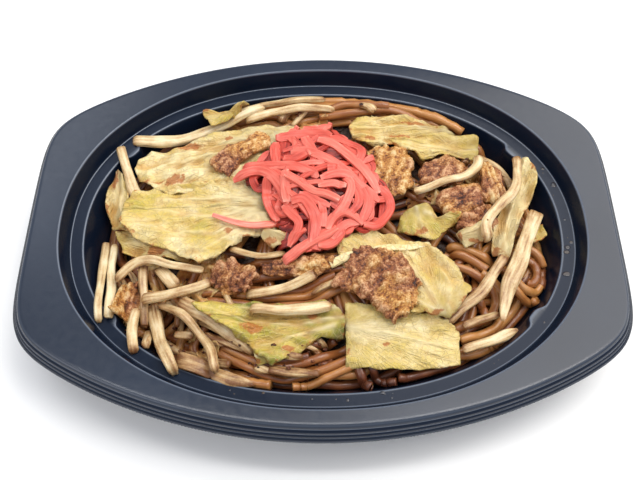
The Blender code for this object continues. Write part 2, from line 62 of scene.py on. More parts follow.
# One station after another from the skirt's foot to the basin's floor: which outline it
# follows, how far inside it, its height, and its painted light, from -1, painted shade that
# darkens the sheet and dims its reflection, to 1, a pale painted highlight along a corner.
TRAY_SECTION = [
    ("rim", -3.60, 28.00, 0.0), ("rim", -3.35, 28.15, 0.3), ("rim", -3.30, 29.60, -0.6),
    ("rim", -2.64, 29.86, -0.6), ("rim", -2.48, 30.05, 1.0), ("rim", -2.43, 30.25, -0.2),
    ("rim", -2.35, 31.80, -0.8), ("rim", -1.84, 32.06, -0.8), ("rim", -1.66, 32.25, 1.0),
    ("rim", -1.61, 32.50, -0.2), ("rim", -1.30, 33.80, -0.8), ("rim", -0.62, 34.08, -0.8),
    ("rim", -0.40, 34.30, 0.9), ("rim", -0.30, 34.55, -0.2), ("rim", 0.05, 35.45, 0.0),
    ("rim", 0.55, 35.85, 0.2), ("rim", 1.30, 36.00, 0.0), ("rim", 2.20, 36.00, 0.0),
    ("lip", -0.60, 36.00, 0.0), ("lip", -0.22, 35.97, 0.6), ("lip", 0.03, 35.80, 1.0),
    ("lip", 0.22, 35.40, 0.3), ("lip", 0.42, 34.95, -1.0), ("lip", 1.60, 32.60, -1.0),
    ("lip", 2.75, 29.60, -1.0), ("lip", 3.05, 28.80, -0.8), ("lip", 3.22, 28.52, 0.7),
    ("lip", 3.45, 28.42, 0.7), ("lip", 3.75, 28.40, -0.8), ("lip", 7.90, 28.24, -0.8),
    ("lip", 8.35, 28.22, 0.7), ("lip", 8.65, 28.14, 0.8), ("lip", 8.95, 27.90, 0.0),
    ("lip", 9.20, 27.40, -1.0), ("lip", 9.60, 26.60, -1.0), ("lip", 12.60, 20.00, -1.0),
    ("lip", 16.00, 12.40, -1.0), ("lip", 19.00, 5.60, -1.0), ("lip", 20.20, 3.10, -1.0),
    ("lip", 21.70, 1.50, -1.0), ("lip", 24.00, 0.75, -1.0), ("lip", 27.00, 0.70, -1.0),
    ("lip", 40.00, 0.70, -1.0),
]


def lip_radius(angle, inset):
    """The oval, moved inwards by inset."""
    across = np.abs(np.cos(angle)) / (LIP_HALF_LENGTH - inset)
    along = np.abs(np.sin(angle)) / (LIP_HALF_WIDTH - inset)
    return (across ** LIP_POWER + along ** LIP_POWER) ** (-1.0 / LIP_POWER)


def rim_radius(angle, inset):
    """A long arc at front and back and a straight end, met by a rounded corner."""
    rise = np.abs(np.sin(angle))
    centre = RIM_ARC - RIM_HALF_WIDTH
    arc = RIM_ARC - inset
    to_arc = -centre * rise + np.sqrt((centre * rise) ** 2 + arc ** 2 - centre ** 2)
    to_end = (RIM_HALF_LENGTH - inset) / np.maximum(np.abs(np.cos(angle)), 1e-6)
    return (to_arc ** -RIM_CORNER + to_end ** -RIM_CORNER) ** (-1.0 / RIM_CORNER)


def new_loop(bm, stations):
    """A circle of vertices, in order round the tray."""
    made = bmesh.ops.create_circle(bm, segments=stations, radius=1.0)["verts"]
    return sorted(made, key=lambda vert: math.atan2(vert.co.y, vert.co.x) % math.tau)


def place_loop(verts, outline, inset, height, knurl=0.0):
    """Moves one closed loop of vertices to its station round the tray."""
    angles = np.linspace(0.0, math.tau, len(verts), endpoint=False)
    folded = np.degrees(np.arctan2(np.abs(np.sin(angles)), np.abs(np.cos(angles))))
    push = np.zeros(len(verts))
    if outline == "lip" and LUG_BAND[0] < inset < LUG_BAND[1]:
        push = LUG_REACH * np.exp(-((folded - LUG_ANGLE) / LUG_SPREAD) ** 4)
    reach = (rim_radius if outline == "rim" else lip_radius)(angles, inset + push)
    reach = reach + knurl * np.cos(KNURLS * angles)
    for vert, angle, length in zip(verts, angles, reach):
        vert.co = (length * math.cos(angle), length * math.sin(angle), height)


def rescale(bm, factor):
    """Scales a whole mesh about the origin."""
    bmesh.ops.scale(bm, vec=(factor, factor, factor), verts=bm.verts)


def put_in_scene(name, data):
    """An object with this data, at the origin."""
    made = bpy.data.objects.new(name, data)
    bpy.context.scene.collection.objects.link(made)
    return made


def finish_piece(name, bm, material, slot, *replaced):
    """Turns a mesh in millimetres into a piece in metres that rides on the body."""
    rescale(bm, MM)
    mesh = bpy.data.meshes.new(name)
    bm.to_mesh(mesh)
    bm.free()
    mesh.shade_smooth()
    mesh.materials.append(material)
    piece = put_in_scene(name, mesh)
    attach(piece, "root")
    if replaced:
        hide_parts(*replaced)
    return piece


def thicken(piece, thickness, even=False):
    """Gives a sheet its thickness, behind its face."""
    sheet = piece.modifiers.new("thickness", "SOLIDIFY")
    sheet.thickness = thickness * MM
    sheet.offset = -1.0
    sheet.use_even_offset = even


def linear(code):
    """An sRGB hex colour as linear RGBA."""
    parts = [int(code[i:i + 2], 16) / 255.0 for i in (1, 3, 5)]
    return tuple(c / 12.92 if c <= 0.04045 else ((c + 0.055) / 1.055) ** 2.4
                 for c in parts) + (1.0,)


def per_mm(size):
    """The scale that gives a pattern features of this size in millimetres."""
    return 1.0 / (size * MM)


def new_material(name):
    """A material with an empty tree of nodes, and the tree."""
    material = bpy.data.materials.new(name)
    material.use_nodes = True
    material.node_tree.nodes.clear()
    return material, material.node_tree


def add_node(tree, kind, *values, output=0, stops=(), **named):
    """Adds a node and gives back one of its outputs. The values go to its first inputs. A name
    in small letters is a setting; any other is an input, with an underscore for a space. Stops
    are the places and hex colours of a ramp."""
    node = tree.nodes.new("ShaderNode" + kind)
    inputs = dict(enumerate(values))
    for key, value in named.items():
        if key.islower():
            setattr(node, key, value)
        else:
            inputs[key.replace("_", " ")] = value
    for key, value in inputs.items():
        if isinstance(value, bpy.types.NodeSocket):
            tree.links.new(value, node.inputs[key])
        else:
            node.inputs[key].default_value = value
    for stop in stops[2:]:
        node.color_ramp.elements.new(0.5)
    for stop, (place, code) in enumerate(stops):
        node.color_ramp.elements[stop].position = place
        node.color_ramp.elements[stop].color = linear(code)
    return node.outputs[output] if node.outputs else None


def formed_plastic():
    """Vacuum formed black polypropylene: a blue-black sheet with a wide soft shine, cloudy where
    the mould was rougher, with painted shade that darkens it and dims its reflection in the
    walls, ledge, basin and skirt, and painted highlights that pale it along the corners."""
    material, tree = new_material("black_formed_polypropylene")
    spot = add_node(tree, "TexCoord", output="Object")
    cloud = add_node(tree, "TexNoise", Vector=spot, Scale=per_mm(45), Detail=3.0)
    scuff = add_node(tree, "TexNoise", Vector=spot, Scale=per_mm(3), Detail=5.0)
    peel = add_node(tree, "TexNoise", Vector=spot, Scale=per_mm(1.6), Detail=2.0)
    drawn = add_node(tree, "Attribute", attribute_name="drawn", output="Fac")
    sheet = add_node(tree, "ValToRGB", Fac=cloud, stops=((0.35, "#172131"), (0.7, "#1C2738")))
    # Below zero the value is painted shade, darkening the sheet and dimming its reflection; above
    # zero it is a painted highlight that pales the corners.
    down = add_node(tree, "Math", drawn, -1.0, operation="MULTIPLY", use_clamp=True)
    corner = add_node(tree, "Math", drawn, 0.5, operation="MULTIPLY", use_clamp=True)
    deep = add_node(tree, "Mix", Factor=down, A=sheet, B=linear("#0D1625"), data_type="RGBA",
                    output="Result")
    colour = add_node(tree, "Mix", Factor=corner, A=deep, B=linear("#8C97A8"), data_type="RGBA",
                      output="Result")
    shine = add_node(tree, "Mix", Factor=down, A=linear("#FFFFFF"), B=linear("#7C8496"),
                     data_type="RGBA", output="Result")
    rough = add_node(tree, "MapRange", Value=scuff, From_Min=0.3, From_Max=0.7, To_Min=0.19,
                     To_Max=0.27)
    bump = add_node(tree, "Bump", Height=peel, Strength=0.06, Distance=0.0004)
    shader = add_node(tree, "BsdfPrincipled", Base_Color=colour, Roughness=rough, IOR=1.52,
                      Specular_Tint=shine, Normal=bump)
    add_node(tree, "OutputMaterial", shader)
    return material


plastic = formed_plastic()
bm = bmesh.new()
drawn_layer = bm.verts.layers.float.new("drawn")
loop = new_loop(bm, TRAY_STATIONS)
place_loop(loop, *TRAY_SECTION[0][:3])
edges = list(bm.edges)
for outline, inset, height, drawn in TRAY_SECTION[1:]:
    before = {vert: index for index, vert in enumerate(loop)}
    made = bmesh.ops.extrude_edge_only(bm, edges=edges)["geom"]
    edges = [part for part in made if isinstance(part, bmesh.types.BMEdge)]
    fresh = {part for part in made if isinstance(part, bmesh.types.BMVert)}
    following = [None] * len(loop)
    for vert in fresh:
        for edge in vert.link_edges:
            other = edge.other_vert(vert)
            if other in before:
                following[before[other]] = vert
    loop = following
    place_loop(loop, outline, inset, height)
    for vert in loop:
        vert[drawn_layer] = drawn
bmesh.ops.edgeloop_fill(bm, edges=edges)
bmesh.ops.recalc_face_normals(bm, faces=bm.faces)
thicken(finish_piece("tray_formed", bm, plastic, "black_plastic", "tray"), SHELL, even=True)

bm = bmesh.new()
rings = []
for inset, height, toothed in KNURL_SECTION:
    ring = new_loop(bm, KNURL_STATIONS)
    place_loop(ring, "rim", inset, height, KNURL_DEPTH if toothed else 0.0)
    rings.append({edge for vert in ring for edge in vert.link_edges})
for ring, following in zip(rings, rings[1:] + rings[:1]):
    bmesh.ops.bridge_loops(bm, edges=list(ring) + list(following))
bmesh.ops.recalc_face_normals(bm, faces=bm.faces)
finish_piece("tray_knurl", bm, plastic, "black_plastic")


# ======================================================================== noodles
# Steamed wheat noodles about 3.5 mm thick, fried in oil and brown sauce: a tangle of long soft
# strands that lie over one another in bundles, follow the tray's wall and coil up at one end.
# They lie over a core painted dark as shade, which fills the basin where no light reaches.
# The bed is a grid of heights over the basin: its spacing, its half size, and the rows at its
# edge that nothing is laid on.
CELL, BED_HALF, BED_EDGE = 0.5, (112.0, 84.0), 5
# Heights from which a surface is looked for, above and below everything.
ABOVE, BELOW = 200.0, -50.0
# How the wall's place is found: the furthest it can be inside the lip, and how many halvings.
DEEPEST_INSET, HALVINGS = 60.0, 14
# A round strand has no limit to its half thickness, and every strand keeps this off the wall.
ROUND, WALL_GAP = 50.0, 0.3
# Noodles press into one another this much.
NOODLE_RADIUS, NOODLE_PRESS = 1.85, 0.15
NOODLE_RINGS, NOODLE_SIDES = 48, 8
# How far from the lip the noodles keep: those on top, those under them, and then how much more
# at the right and at the left, round which angle and over what spread, in radians.
TOP_INSET, UNDER_INSET = 11.0, 11.6
RIGHT_MORE, RIGHT_ANGLE, RIGHT_SPREAD = 5.5, 0.08, 0.36
LEFT_MORE, LEFT_SPREAD = 6.0, 0.7
# A top noodle is cut where it would lie this far inside the others, and left out if fewer
# rings than this are free.
CUT_DEPTH, FEWEST_RINGS = 2.0, 9
# A drifting strand goes on by this step, and turns with the wall once it is this near to it.
DRIFT_STEP, NEAR_WALL = 4.0, 0.86
# Bundles under the rest: how many, the places tried for each, their inset and their spacing.
UNDER_BUNDLES, UNDER_TRIES, UNDER_WALL, UNDER_SPACING = 44, 10, 14.0, 3.3
# How far above the heap's own top each kind may lie.
UNDER_ALLOW, COIL_ALLOW, TOP_ALLOW, KNOT_ALLOW = -2.6, 0.6, 0.5, 1.6
# The core: how far it lies below the heap's top, from what height up, and how much narrower.
CORE_DROP, CORE_FROM, CORE_SHARE = 8.5, 12.0, (0.96, 0.95)


def solid_tree(name):
    """The surface of a solid, in millimetres."""
    mesh = solid_nodes[name].data
    return BVHTree.FromPolygons([vert.co / MM for vert in mesh.vertices],
                                [face.vertices[:] for face in mesh.polygons])


def solid_copy(name):
    """A solid's mesh with its loose triangles joined, in metres."""
    bm = bmesh.new()
    bm.from_mesh(solid_nodes[name].data)
    bmesh.ops.remove_doubles(bm, verts=bm.verts, dist=1e-6)
    return bm


def seen_down(tree, x, y):
    """Where a surface is first met from above, or None."""
    return tree.ray_cast(Vector((x, y, ABOVE)), Vector((0.0, 0.0, -1.0)))[0]


def seen_up(tree, x, y):
    """Where a surface is first met from below, or None."""
    return tree.ray_cast(Vector((x, y, BELOW)), Vector((0.0, 0.0, 1.0)))[0]


def top_at(tree, x, y):
    """The height of a surface seen from above, or of its nearest point beside it."""
    hit = seen_down(tree, x, y)
    return hit.z if hit else tree.find_nearest(Vector((x, y, 30.0)))[0].z


class Bed:
    """Heights of what has been laid so far, on a grid with a node every CELL."""

    def __init__(self, tree, fallback=None):
        self.xs = np.arange(-BED_HALF[0], BED_HALF[0] + CELL / 2, CELL)
        self.ys = np.arange(-BED_HALF[1], BED_HALF[1] + CELL / 2, CELL)
        self.top = np.full((len(self.xs), len(self.ys)), BELOW)
        for i, x in enumerate(self.xs):
            for j, y in enumerate(self.ys):
                hit = seen_down(tree, x + 1e-3, y + 1e-3)
                if hit is not None:
                    self.top[i, j] = hit.z
        if fallback is not None:
            self.top = np.maximum(self.top, fallback)

    def cells(self, xs, ys):
        """The grid nodes nearest to these places, never at the very edge."""
        i = np.rint((xs + BED_HALF[0]) / CELL).astype(int)
        j = np.rint((ys + BED_HALF[1]) / CELL).astype(int)
        return (np.clip(i, BED_EDGE - 1, len(self.xs) - BED_EDGE),
                np.clip(j, BED_EDGE - 1, len(self.ys) - BED_EDGE))

    def at(self, xs, ys):
        """The heights of the bed at these places."""
        i, j = self.cells(xs, ys)
        return self.top[i, j]

    def disc(self, radius, half=ROUND):
        """Grid offsets under a strand, and how far its skin is there from its middle. Half is
        half the thickness of a flat strand."""
        reach = int(radius / CELL)
        for di in range(-reach, reach + 1):
            for dj in range(-reach, reach + 1):
                square = (di * di + dj * dj) * CELL * CELL
                if square < radius * radius:
                    yield di, dj, min(half, math.sqrt(radius * radius - square))

    def rest(self, xs, ys, radius, half=ROUND):
        """Heights of the middle of a strand that lies on the bed."""
        i, j = self.cells(xs, ys)
        return np.max([self.top[i + di, j + dj] + rise
                       for di, dj, rise in self.disc(radius, half)], axis=0)

    def press(self, path, radius, half=ROUND):
        """Raises the bed to a strand that has been laid."""
        fine = np.linspace(0.0, len(path) - 1.0, len(path) * 6)
        steps = np.arange(len(path))
        xs, ys, zs = (np.interp(fine, steps, path[:, axis]) for axis in range(3))
        i, j = self.cells(xs, ys)
        for di, dj, rise in self.disc(radius, half):
            np.maximum.at(self.top, (i + di, j + dj), zs + rise)


def wall_map():
    """The height of the tray's wall over the bed's grid; low inside the basin."""
    xs = np.arange(-BED_HALF[0], BED_HALF[0] + CELL / 2, CELL)
    ys = np.arange(-BED_HALF[1], BED_HALF[1] + CELL / 2, CELL)
    x, y = np.meshgrid(xs, ys, indexing="ij")
    angle, reach = np.arctan2(y, x), np.hypot(x, y)
    low, high = np.zeros(x.shape), np.full(x.shape, DEEPEST_INSET)
    for halving in range(HALVINGS):
        middle = (low + high) / 2.0
        outside = lip_radius(angle, middle) > reach
        low, high = np.where(outside, middle, low), np.where(outside, high, middle)
    section = [(inset, height) for outline, inset, height, drawn in TRAY_SECTION
               if outline == "lip" and inset > 1]
    return np.interp(low, *zip(*section))


def evenly(points, count):
    """Points evenly spread along a smooth line through the given points."""
    points = np.asarray(points, float)
    ends = np.vstack([2 * points[0] - points[1], points, 2 * points[-1] - points[-2]])
    t = np.linspace(0.0, 1.0, 12, endpoint=False)[:, None]
    fine = [0.5 * (2 * b + (c - a) * t + (2 * a - 5 * b + 4 * c - d) * t ** 2
                   + (3 * b - a - 3 * c + d) * t ** 3)
            for a, b, c, d in zip(ends, ends[1:], ends[2:], ends[3:])]
    fine = np.vstack(fine + [points[-1:]])
    run = np.concatenate([[0.0], np.cumsum(np.linalg.norm(np.diff(fine, axis=0), axis=1))])
    at = np.linspace(0.0, run[-1], count)
    return np.stack([np.interp(at, run, fine[:, axis]) for axis in range(fine.shape[1])], axis=1)


def smoothed(heights, sweeps):
    """Heights along a strand with their small steps taken out."""
    for sweep in range(sweeps):
        heights[1:-1] = (heights[:-2] + 2.0 * heights[1:-1] + heights[2:]) / 4.0
    return heights


def tops_along(name, flat):
    """The heights of a solid's top along a flat path."""
    tree = solid_tree(name)
    return np.array([top_at(tree, x, y) for x, y in flat])


def lay(bed, flat, radius, sag, ceiling=None, half=ROUND):
    """Heights for a soft strand along a flat path: it bridges small dips and lies on the bed,
    under a ceiling but never through the tray's wall."""
    support = bed.rest(flat[:, 0], flat[:, 1], radius, half)
    height = support.copy()
    for sweep in range(sag):
        mean = height.copy()
        mean[1:-1] = (height[:-2] + height[2:]) / 2.0
        height = np.maximum(support, mean)
    if ceiling is not None:
        height = np.minimum(height, ceiling)
    wall = walls.rest(flat[:, 0], flat[:, 1], radius, half) + WALL_GAP
    height = np.maximum(smoothed(height, 3), wall)
    return np.column_stack([flat, height])


def tube_template(rings, sides):
    """A closed straight tube from x = 0 to 1 of radius 1, made by extruding a circle."""
    bm = bmesh.new()
    bmesh.ops.create_circle(bm, segments=sides, radius=1.0)
    bmesh.ops.rotate(bm, verts=bm.verts, cent=(0, 0, 0),
                     matrix=Matrix.Rotation(math.pi / 2, 3, "Y"))
    edges = list(bm.edges)
    bmesh.ops.edgeloop_fill(bm, edges=edges)
    for ring in range(1, rings):
        made = bmesh.ops.extrude_edge_only(bm, edges=edges)["geom"]
        edges = [part for part in made if isinstance(part, bmesh.types.BMEdge)]
        fresh = [part for part in made if isinstance(part, bmesh.types.BMVert)]
        bmesh.ops.translate(bm, verts=fresh, vec=(1.0 / (rings - 1), 0.0, 0.0))
    bmesh.ops.edgeloop_fill(bm, edges=edges)
    bmesh.ops.recalc_face_normals(bm, faces=bm.faces)
    mesh = bpy.data.meshes.new("tube")
    bm.to_mesh(mesh)
    bm.free()
    places = np.array([vert.co for vert in mesh.vertices])
    return mesh, places


class Strands:
    """Many strands joined in one mesh, each a straight tube bent along its own path."""

    def __init__(self, rings, sides):
        self.mesh, self.places = tube_template(rings, sides)
        self.rings = rings
        self.bm = bmesh.new()
        self.bm.verts.layers.float_vector.new("straight")
        for key in ("tint", "mark"):
            self.bm.verts.layers.float.new(key)
        self.straight = self.bm.verts.layers.float_vector["straight"]
        self.tint = self.bm.verts.layers.float["tint"]
        self.mark = self.bm.verts.layers.float["mark"]
        self.count = 0

    def bend(self, path, radius, tint, section=2.0, flat=1.0, twist=(0.0, 0.0), mark=0.0,
             dents=None):
        """Adds a strand. The radius and the mark are one number or one per ring; section
        squares it off, flat presses it, twist is its roll at each end, and dents are where its
        sides are pressed in: (angle, half width, depth)."""
        ring = np.rint(self.places[:, 0] * (self.rings - 1)).astype(int)
        ahead = np.gradient(path, axis=0)
        ahead /= np.linalg.norm(ahead, axis=1)[:, None]
        side = np.cross([0.0, 0.0, 1.0], ahead)
        side /= np.maximum(np.linalg.norm(side, axis=1), 1e-6)[:, None]
        above = np.cross(ahead, side)
        turn = np.arctan2(self.places[:, 2], self.places[:, 1])
        c, s = np.cos(turn), np.sin(turn)
        square = (np.abs(c) ** section + np.abs(s) ** section) ** (-1.0 / section)
        reach = np.broadcast_to(radius, self.rings)[ring]
        for angle, width, depth in dents or []:
            off = np.arctan2(np.sin(turn - angle), np.cos(turn - angle))
            square = square * (1.0 - depth * np.exp(-(off / width) ** 2))
        marks = np.broadcast_to(mark, self.rings)[ring]
        y, z = c * square * reach, s * square * reach * flat
        roll = np.linspace(twist[0], twist[1], self.rings)[ring]
        across = y * np.cos(roll) - z * np.sin(roll)
        up = y * np.sin(roll) + z * np.cos(roll)
        shape = path[ring] + side[ring] * across[:, None] + above[ring] * up[:, None]
        run = np.linalg.norm(np.diff(path, axis=0), axis=1).sum()
        start = len(self.bm.verts)
        self.bm.from_mesh(self.mesh)
        self.bm.verts.ensure_lookup_table()
        for k in range(len(shape)):
            vert = self.bm.verts[start + k]
            vert.co = shape[k]
            vert[self.straight] = Vector((self.places[k, 0] * run + 171.3 * self.count,
                                          y[k], z[k])) * MM
            vert[self.tint] = tint
            vert[self.mark] = marks[k]
        self.count += 1


def oval_share(x, y, inset):
    """0 at the middle of the basin and 1 at this inset from the lip."""
    return math.hypot(x, y) / float(lip_radius(math.atan2(y, x), inset))


def turn_between(heading, other):
    """The turn from one heading to another, the short way round."""
    return math.atan2(math.sin(other - heading), math.cos(other - heading))


def wander(rng, start, heading, length, curl, inset):
    """A drifting line that turns along the wall where it meets it."""
    points = [start]
    turn = rng.uniform(-curl, curl)
    for step in range(int(length / DRIFT_STEP)):
        turn = 0.85 * turn + rng.gauss(0.0, curl * 0.45)
        heading += turn * DRIFT_STEP
        x, y = points[-1]
        near = oval_share(x, y, inset)
        if near > NEAR_WALL:
            along = math.atan2(x / 92.0 ** 2, -y / 64.0 ** 2)
            if math.cos(along - heading) < 0.0:
                along += math.pi
            heading += turn_between(heading, along) * min(1.0, (near - NEAR_WALL) / 0.12)
        x, y = x + DRIFT_STEP * math.cos(heading), y + DRIFT_STEP * math.sin(heading)
        near = oval_share(x, y, inset)
        if near > 1.0:
            x, y = x / near, y / near
        points.append((x, y))
    return points


def beside(path, offset):
    """The same flat path moved sideways."""
    ahead = np.gradient(path, axis=0)
    ahead /= np.linalg.norm(ahead, axis=1)[:, None]
    return path + np.column_stack([-ahead[:, 1], ahead[:, 0]]) * np.asarray(offset)[:, None]


def keep_inside(path, inset):
    """Pulls a flat path inside the wall, further in at the ends, where the basin shows."""
    angle = np.arctan2(path[:, 1], path[:, 0])
    right = RIGHT_MORE * np.exp(-((angle - RIGHT_ANGLE) / RIGHT_SPREAD) ** 2)
    left = LEFT_MORE * np.exp(-((np.abs(angle) - math.pi) / LEFT_SPREAD) ** 2)
    inset = inset + right + left
    limit = lip_radius(angle, inset) / np.maximum(np.hypot(path[:, 0], path[:, 1]), 1e-6)
    return path * np.minimum(limit, 1.0)[:, None]


def fried_noodle():
    """Wheat noodle fried in sauce: translucent tan under a brown film of oil and sauce that
    pools along one side, with a wet shine broken by the strand's faint lengthwise ridges."""
    material, tree = new_material("sauced_wheat_noodle")
    straight = add_node(tree, "Attribute", attribute_name="straight", output="Vector")
    tint = add_node(tree, "Attribute", attribute_name="tint", output="Fac")
    spot = add_node(tree, "TexCoord", output="Object")
    stretched = add_node(tree, "Mapping", Vector=straight, Scale=(0.16, 1.0, 1.0))
    film = add_node(tree, "TexNoise", Vector=stretched, Scale=per_mm(1.9), Detail=3.0)
    patch = add_node(tree, "TexNoise", Vector=spot, Scale=per_mm(11), Detail=2.0)
    mixed = add_node(tree, "Math", film, 0.55, 0.08, operation="MULTIPLY_ADD")
    shaded = add_node(tree, "Math", tint, 0.38, mixed, operation="MULTIPLY_ADD")
    blotched = add_node(tree, "Math", patch, 0.29, shaded, operation="MULTIPLY_ADD")
    colour = add_node(tree, "ValToRGB", Fac=blotched, stops=((0.34, "#3D1E16"), (0.52, "#6D3C24"),
                      (0.7, "#93592D"), (0.92, "#BB8349")))
    rough = add_node(tree, "MapRange", Value=patch, From_Min=0.3, From_Max=0.7, To_Min=0.22,
                     To_Max=0.42)
    ridge = add_node(tree, "Mapping", Vector=straight, Scale=(0.08, 1.0, 1.0))
    grain = add_node(tree, "TexNoise", Vector=ridge, Scale=per_mm(0.8), Detail=3.0)
    bump = add_node(tree, "Bump", Height=grain, Strength=0.45, Distance=0.0005)
    shader = add_node(tree, "BsdfPrincipled", Base_Color=colour, Roughness=rough, IOR=1.45,
                      Subsurface_Weight=0.18, Subsurface_Radius=(0.0022, 0.0011, 0.0006),
                      Subsurface_Scale=1.0, Coat_Weight=0.3, Coat_Roughness=0.12, Normal=bump)
    add_node(tree, "OutputMaterial", shader)
    return material


def soaked_core():
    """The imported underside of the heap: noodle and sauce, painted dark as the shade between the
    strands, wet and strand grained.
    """
    material, tree = new_material("sauce_soaked_noodle")
    spot = add_node(tree, "TexCoord", output="Object")
    grain = add_node(tree, "TexNoise", Vector=spot, Scale=per_mm(3.4), Detail=4.0, Distortion=1.5)
    colour = add_node(tree, "ValToRGB", Fac=grain, stops=((0.35, "#1C0F09"), (0.65, "#3E2415")))
    bump = add_node(tree, "Bump", Height=grain, Strength=0.8, Distance=0.002)
    shader = add_node(tree, "BsdfPrincipled", Base_Color=colour, Roughness=0.4, Normal=bump)
    add_node(tree, "OutputMaterial", shader)
    return material


bm = solid_copy("noodles")
rescale(bm, 1 / MM)
for vert in bm.verts:
    if vert.co.z > CORE_FROM:
        vert.co.z -= CORE_DROP
        vert.co.x *= CORE_SHARE[0]
        vert.co.y *= CORE_SHARE[1]
core_tree = BVHTree.FromBMesh(bm)
finish_piece("noodle_core", bm, soaked_core(), "noodles")
heap_tree = solid_tree("noodles")
heap = Bed(heap_tree)
bed = Bed(core_tree, wall_map())
heap.top = np.where(heap.top < 0.0, bed.top, heap.top)
walls = Bed(core_tree)
walls.top = wall_map()

# Where the bundles lie that are seen between the toppings: points, strands, spacing. Those at
# the back are knotted: they wave more and lie higher.
NOODLE_BUNDLES = [
    ([(17, -52), (18.5, -61), (22, -67.5), (30, -69.5), (40, -68), (54, -64)], 4, 2.8),
    ([(-50, -49), (-38, -57), (-21, -64.5), (-6, -63.5), (10, -57), (24, -50)], 4, 3.2),
    ([(-10, -71), (1, -67.5), (14, -61), (22, -56)], 2, 3.2),
    ([(-31, -70), (-20, -71.5), (-12, -70.5), (-9, -66)], 1, 3.2),
    ([(44, -71), (68, -62.5), (86, -50), (99, -34)], 1, 3.0),
    ([(54, -65), (72, -57), (88, -44), (97, -30)], 2, 3.3),
    ([(38, -67), (57, -63), (77, -52), (88, -40), (92, -28)], 3, 3.2),
    ([(44, -61), (62, -56), (77, -48), (85, -39)], 2, 3.2),
    ([(-44, -46), (-20, -58), (0, -57), (14, -52)], 4, 3.2),
    ([(46, -12), (64, -18), (76, -30), (72, -44), (56, -52)], 4, 3.4),
    ([(52, -22), (66, -30), (70, -42), (58, -50), (36, -56)], 3, 3.3),
    ([(60, -50), (80, -42), (94, -26), (97, -12), (90, -2)], 4, 3.3),
    ([(-2, 62), (18, 66), (40, 63), (60, 54)], 3, 3.0),
    ([(2, 65), (20, 70), (45, 67), (64, 57), (78, 46)], 4, 2.2),
    ([(8, 68), (24, 72), (42, 69), (56, 62)], 3, 1.8),
    ([(62, 52), (80, 41), (92, 24), (97, 8)], 3, 3.3),
    ([(-52, -24), (-22, -21), (6, -19), (28, -16)], 3, 3.3),
    ([(-52, -31), (-12, -33), (8, -26), (26, -30)], 3, 3.3),
]
KNOTTED_BEYOND = 55
COIL_MIDDLE, COIL_TURNS, COIL_RADIUS, COIL_SPACING = (87.0, -20.0), 3, 12.0, 3.3
# Noodles at the back and at the right are tinted paler, and those in front darker: the axis,
# where that starts, over what run, and how much it lifts the tint.
PLACE_TINTS = [(1, 35.0, 15.0, 0.45), (1, -45.0, -10.0, -0.14), (0, 55.0, 10.0, 0.22)]

noodles = Strands(NOODLE_RINGS, NOODLE_SIDES)
rng = random.Random(11)


def lay_noodle(flat, allow):
    """Lays one noodle along a flat path, no higher than allow above the heap's own surface. One
    of the noodles on top is cut where it would run inside those that are laid there."""
    flat = keep_inside(evenly(flat, NOODLE_RINGS), UNDER_INSET if allow < 0.0 else TOP_INSET)
    ceiling = heap.at(flat[:, 0], flat[:, 1]) - NOODLE_RADIUS + allow
    if allow > 0.0:
        free = bed.rest(flat[:, 0], flat[:, 1], NOODLE_RADIUS - NOODLE_PRESS) < ceiling + CUT_DEPTH
        turns = np.flatnonzero(np.diff(np.concatenate([[0], free.astype(int), [0]])))
        runs = [(stop - start, start, stop) for start, stop in zip(turns[::2], turns[1::2])]
        longest, start, stop = max(runs, default=(0, 0, 0))
        if longest < FEWEST_RINGS:
            return
        flat = evenly(flat[max(start - 2, 0):stop + 2], NOODLE_RINGS)
        ceiling = heap.at(flat[:, 0], flat[:, 1]) - NOODLE_RADIUS + allow
    path = lay(bed, flat, NOODLE_RADIUS - NOODLE_PRESS, 3, ceiling)
    bed.press(path, NOODLE_RADIUS - NOODLE_PRESS)
    radius = NOODLE_RADIUS * rng.uniform(0.93, 1.07)
    swell = 1.0 + 0.05 * np.sin(np.linspace(0.0, rng.uniform(9, 16), NOODLE_RINGS)
                                + rng.uniform(0, 6))
    tint = rng.random()
    for axis, start, run, change in PLACE_TINTS:
        tint += change * np.clip((flat[:, axis].mean() - start) / run, 0.0, 1.0)
    noodles.bend(path, radius * swell, tint, section=2.7,
                 twist=(rng.uniform(-1, 1), rng.uniform(-1, 1)))


for bundle in range(UNDER_BUNDLES):
    best, most = None, 0.4
    for attempt in range(UNDER_TRIES):
        angle, share = rng.uniform(0, math.tau), math.sqrt(rng.random()) * 0.95
        reach = float(lip_radius(angle, UNDER_WALL)) * share
        flat = wander(rng, (reach * math.cos(angle), reach * math.sin(angle)),
                      rng.uniform(0, math.tau), rng.uniform(70, 120), 0.022, UNDER_WALL)
        flat = evenly(flat, NOODLE_RINGS)
        room = heap.at(flat[:, 0], flat[:, 1]) - bed.rest(flat[:, 0], flat[:, 1], 1.7)
        if np.clip(room - 3.0, -2.0, 4.0).mean() > most:
            best, most = flat, np.clip(room - 3.0, -2.0, 4.0).mean()
    if best is None:
        continue
    for strand in range(rng.randint(2, 4)):
        drift = (strand - 1.0) * UNDER_SPACING + rng.uniform(-0.6, 0.6)
        wave = drift + np.sin(np.linspace(0, rng.uniform(2, 6), NOODLE_RINGS)
                              + rng.uniform(0, 6)) * 1.2
        lay_noodle(beside(best, wave), UNDER_ALLOW)

for turn in range(COIL_TURNS * 2):
    radius = COIL_RADIUS - COIL_SPACING * (turn % COIL_TURNS)
    turns = np.linspace(0.4 + turn, 0.4 + turn + 5.2, 16)
    x = COIL_MIDDLE[0] + radius * 0.75 * np.cos(turns)
    y = COIL_MIDDLE[1] + radius * np.sin(turns)
    lay_noodle(np.column_stack([x, y]), COIL_ALLOW)

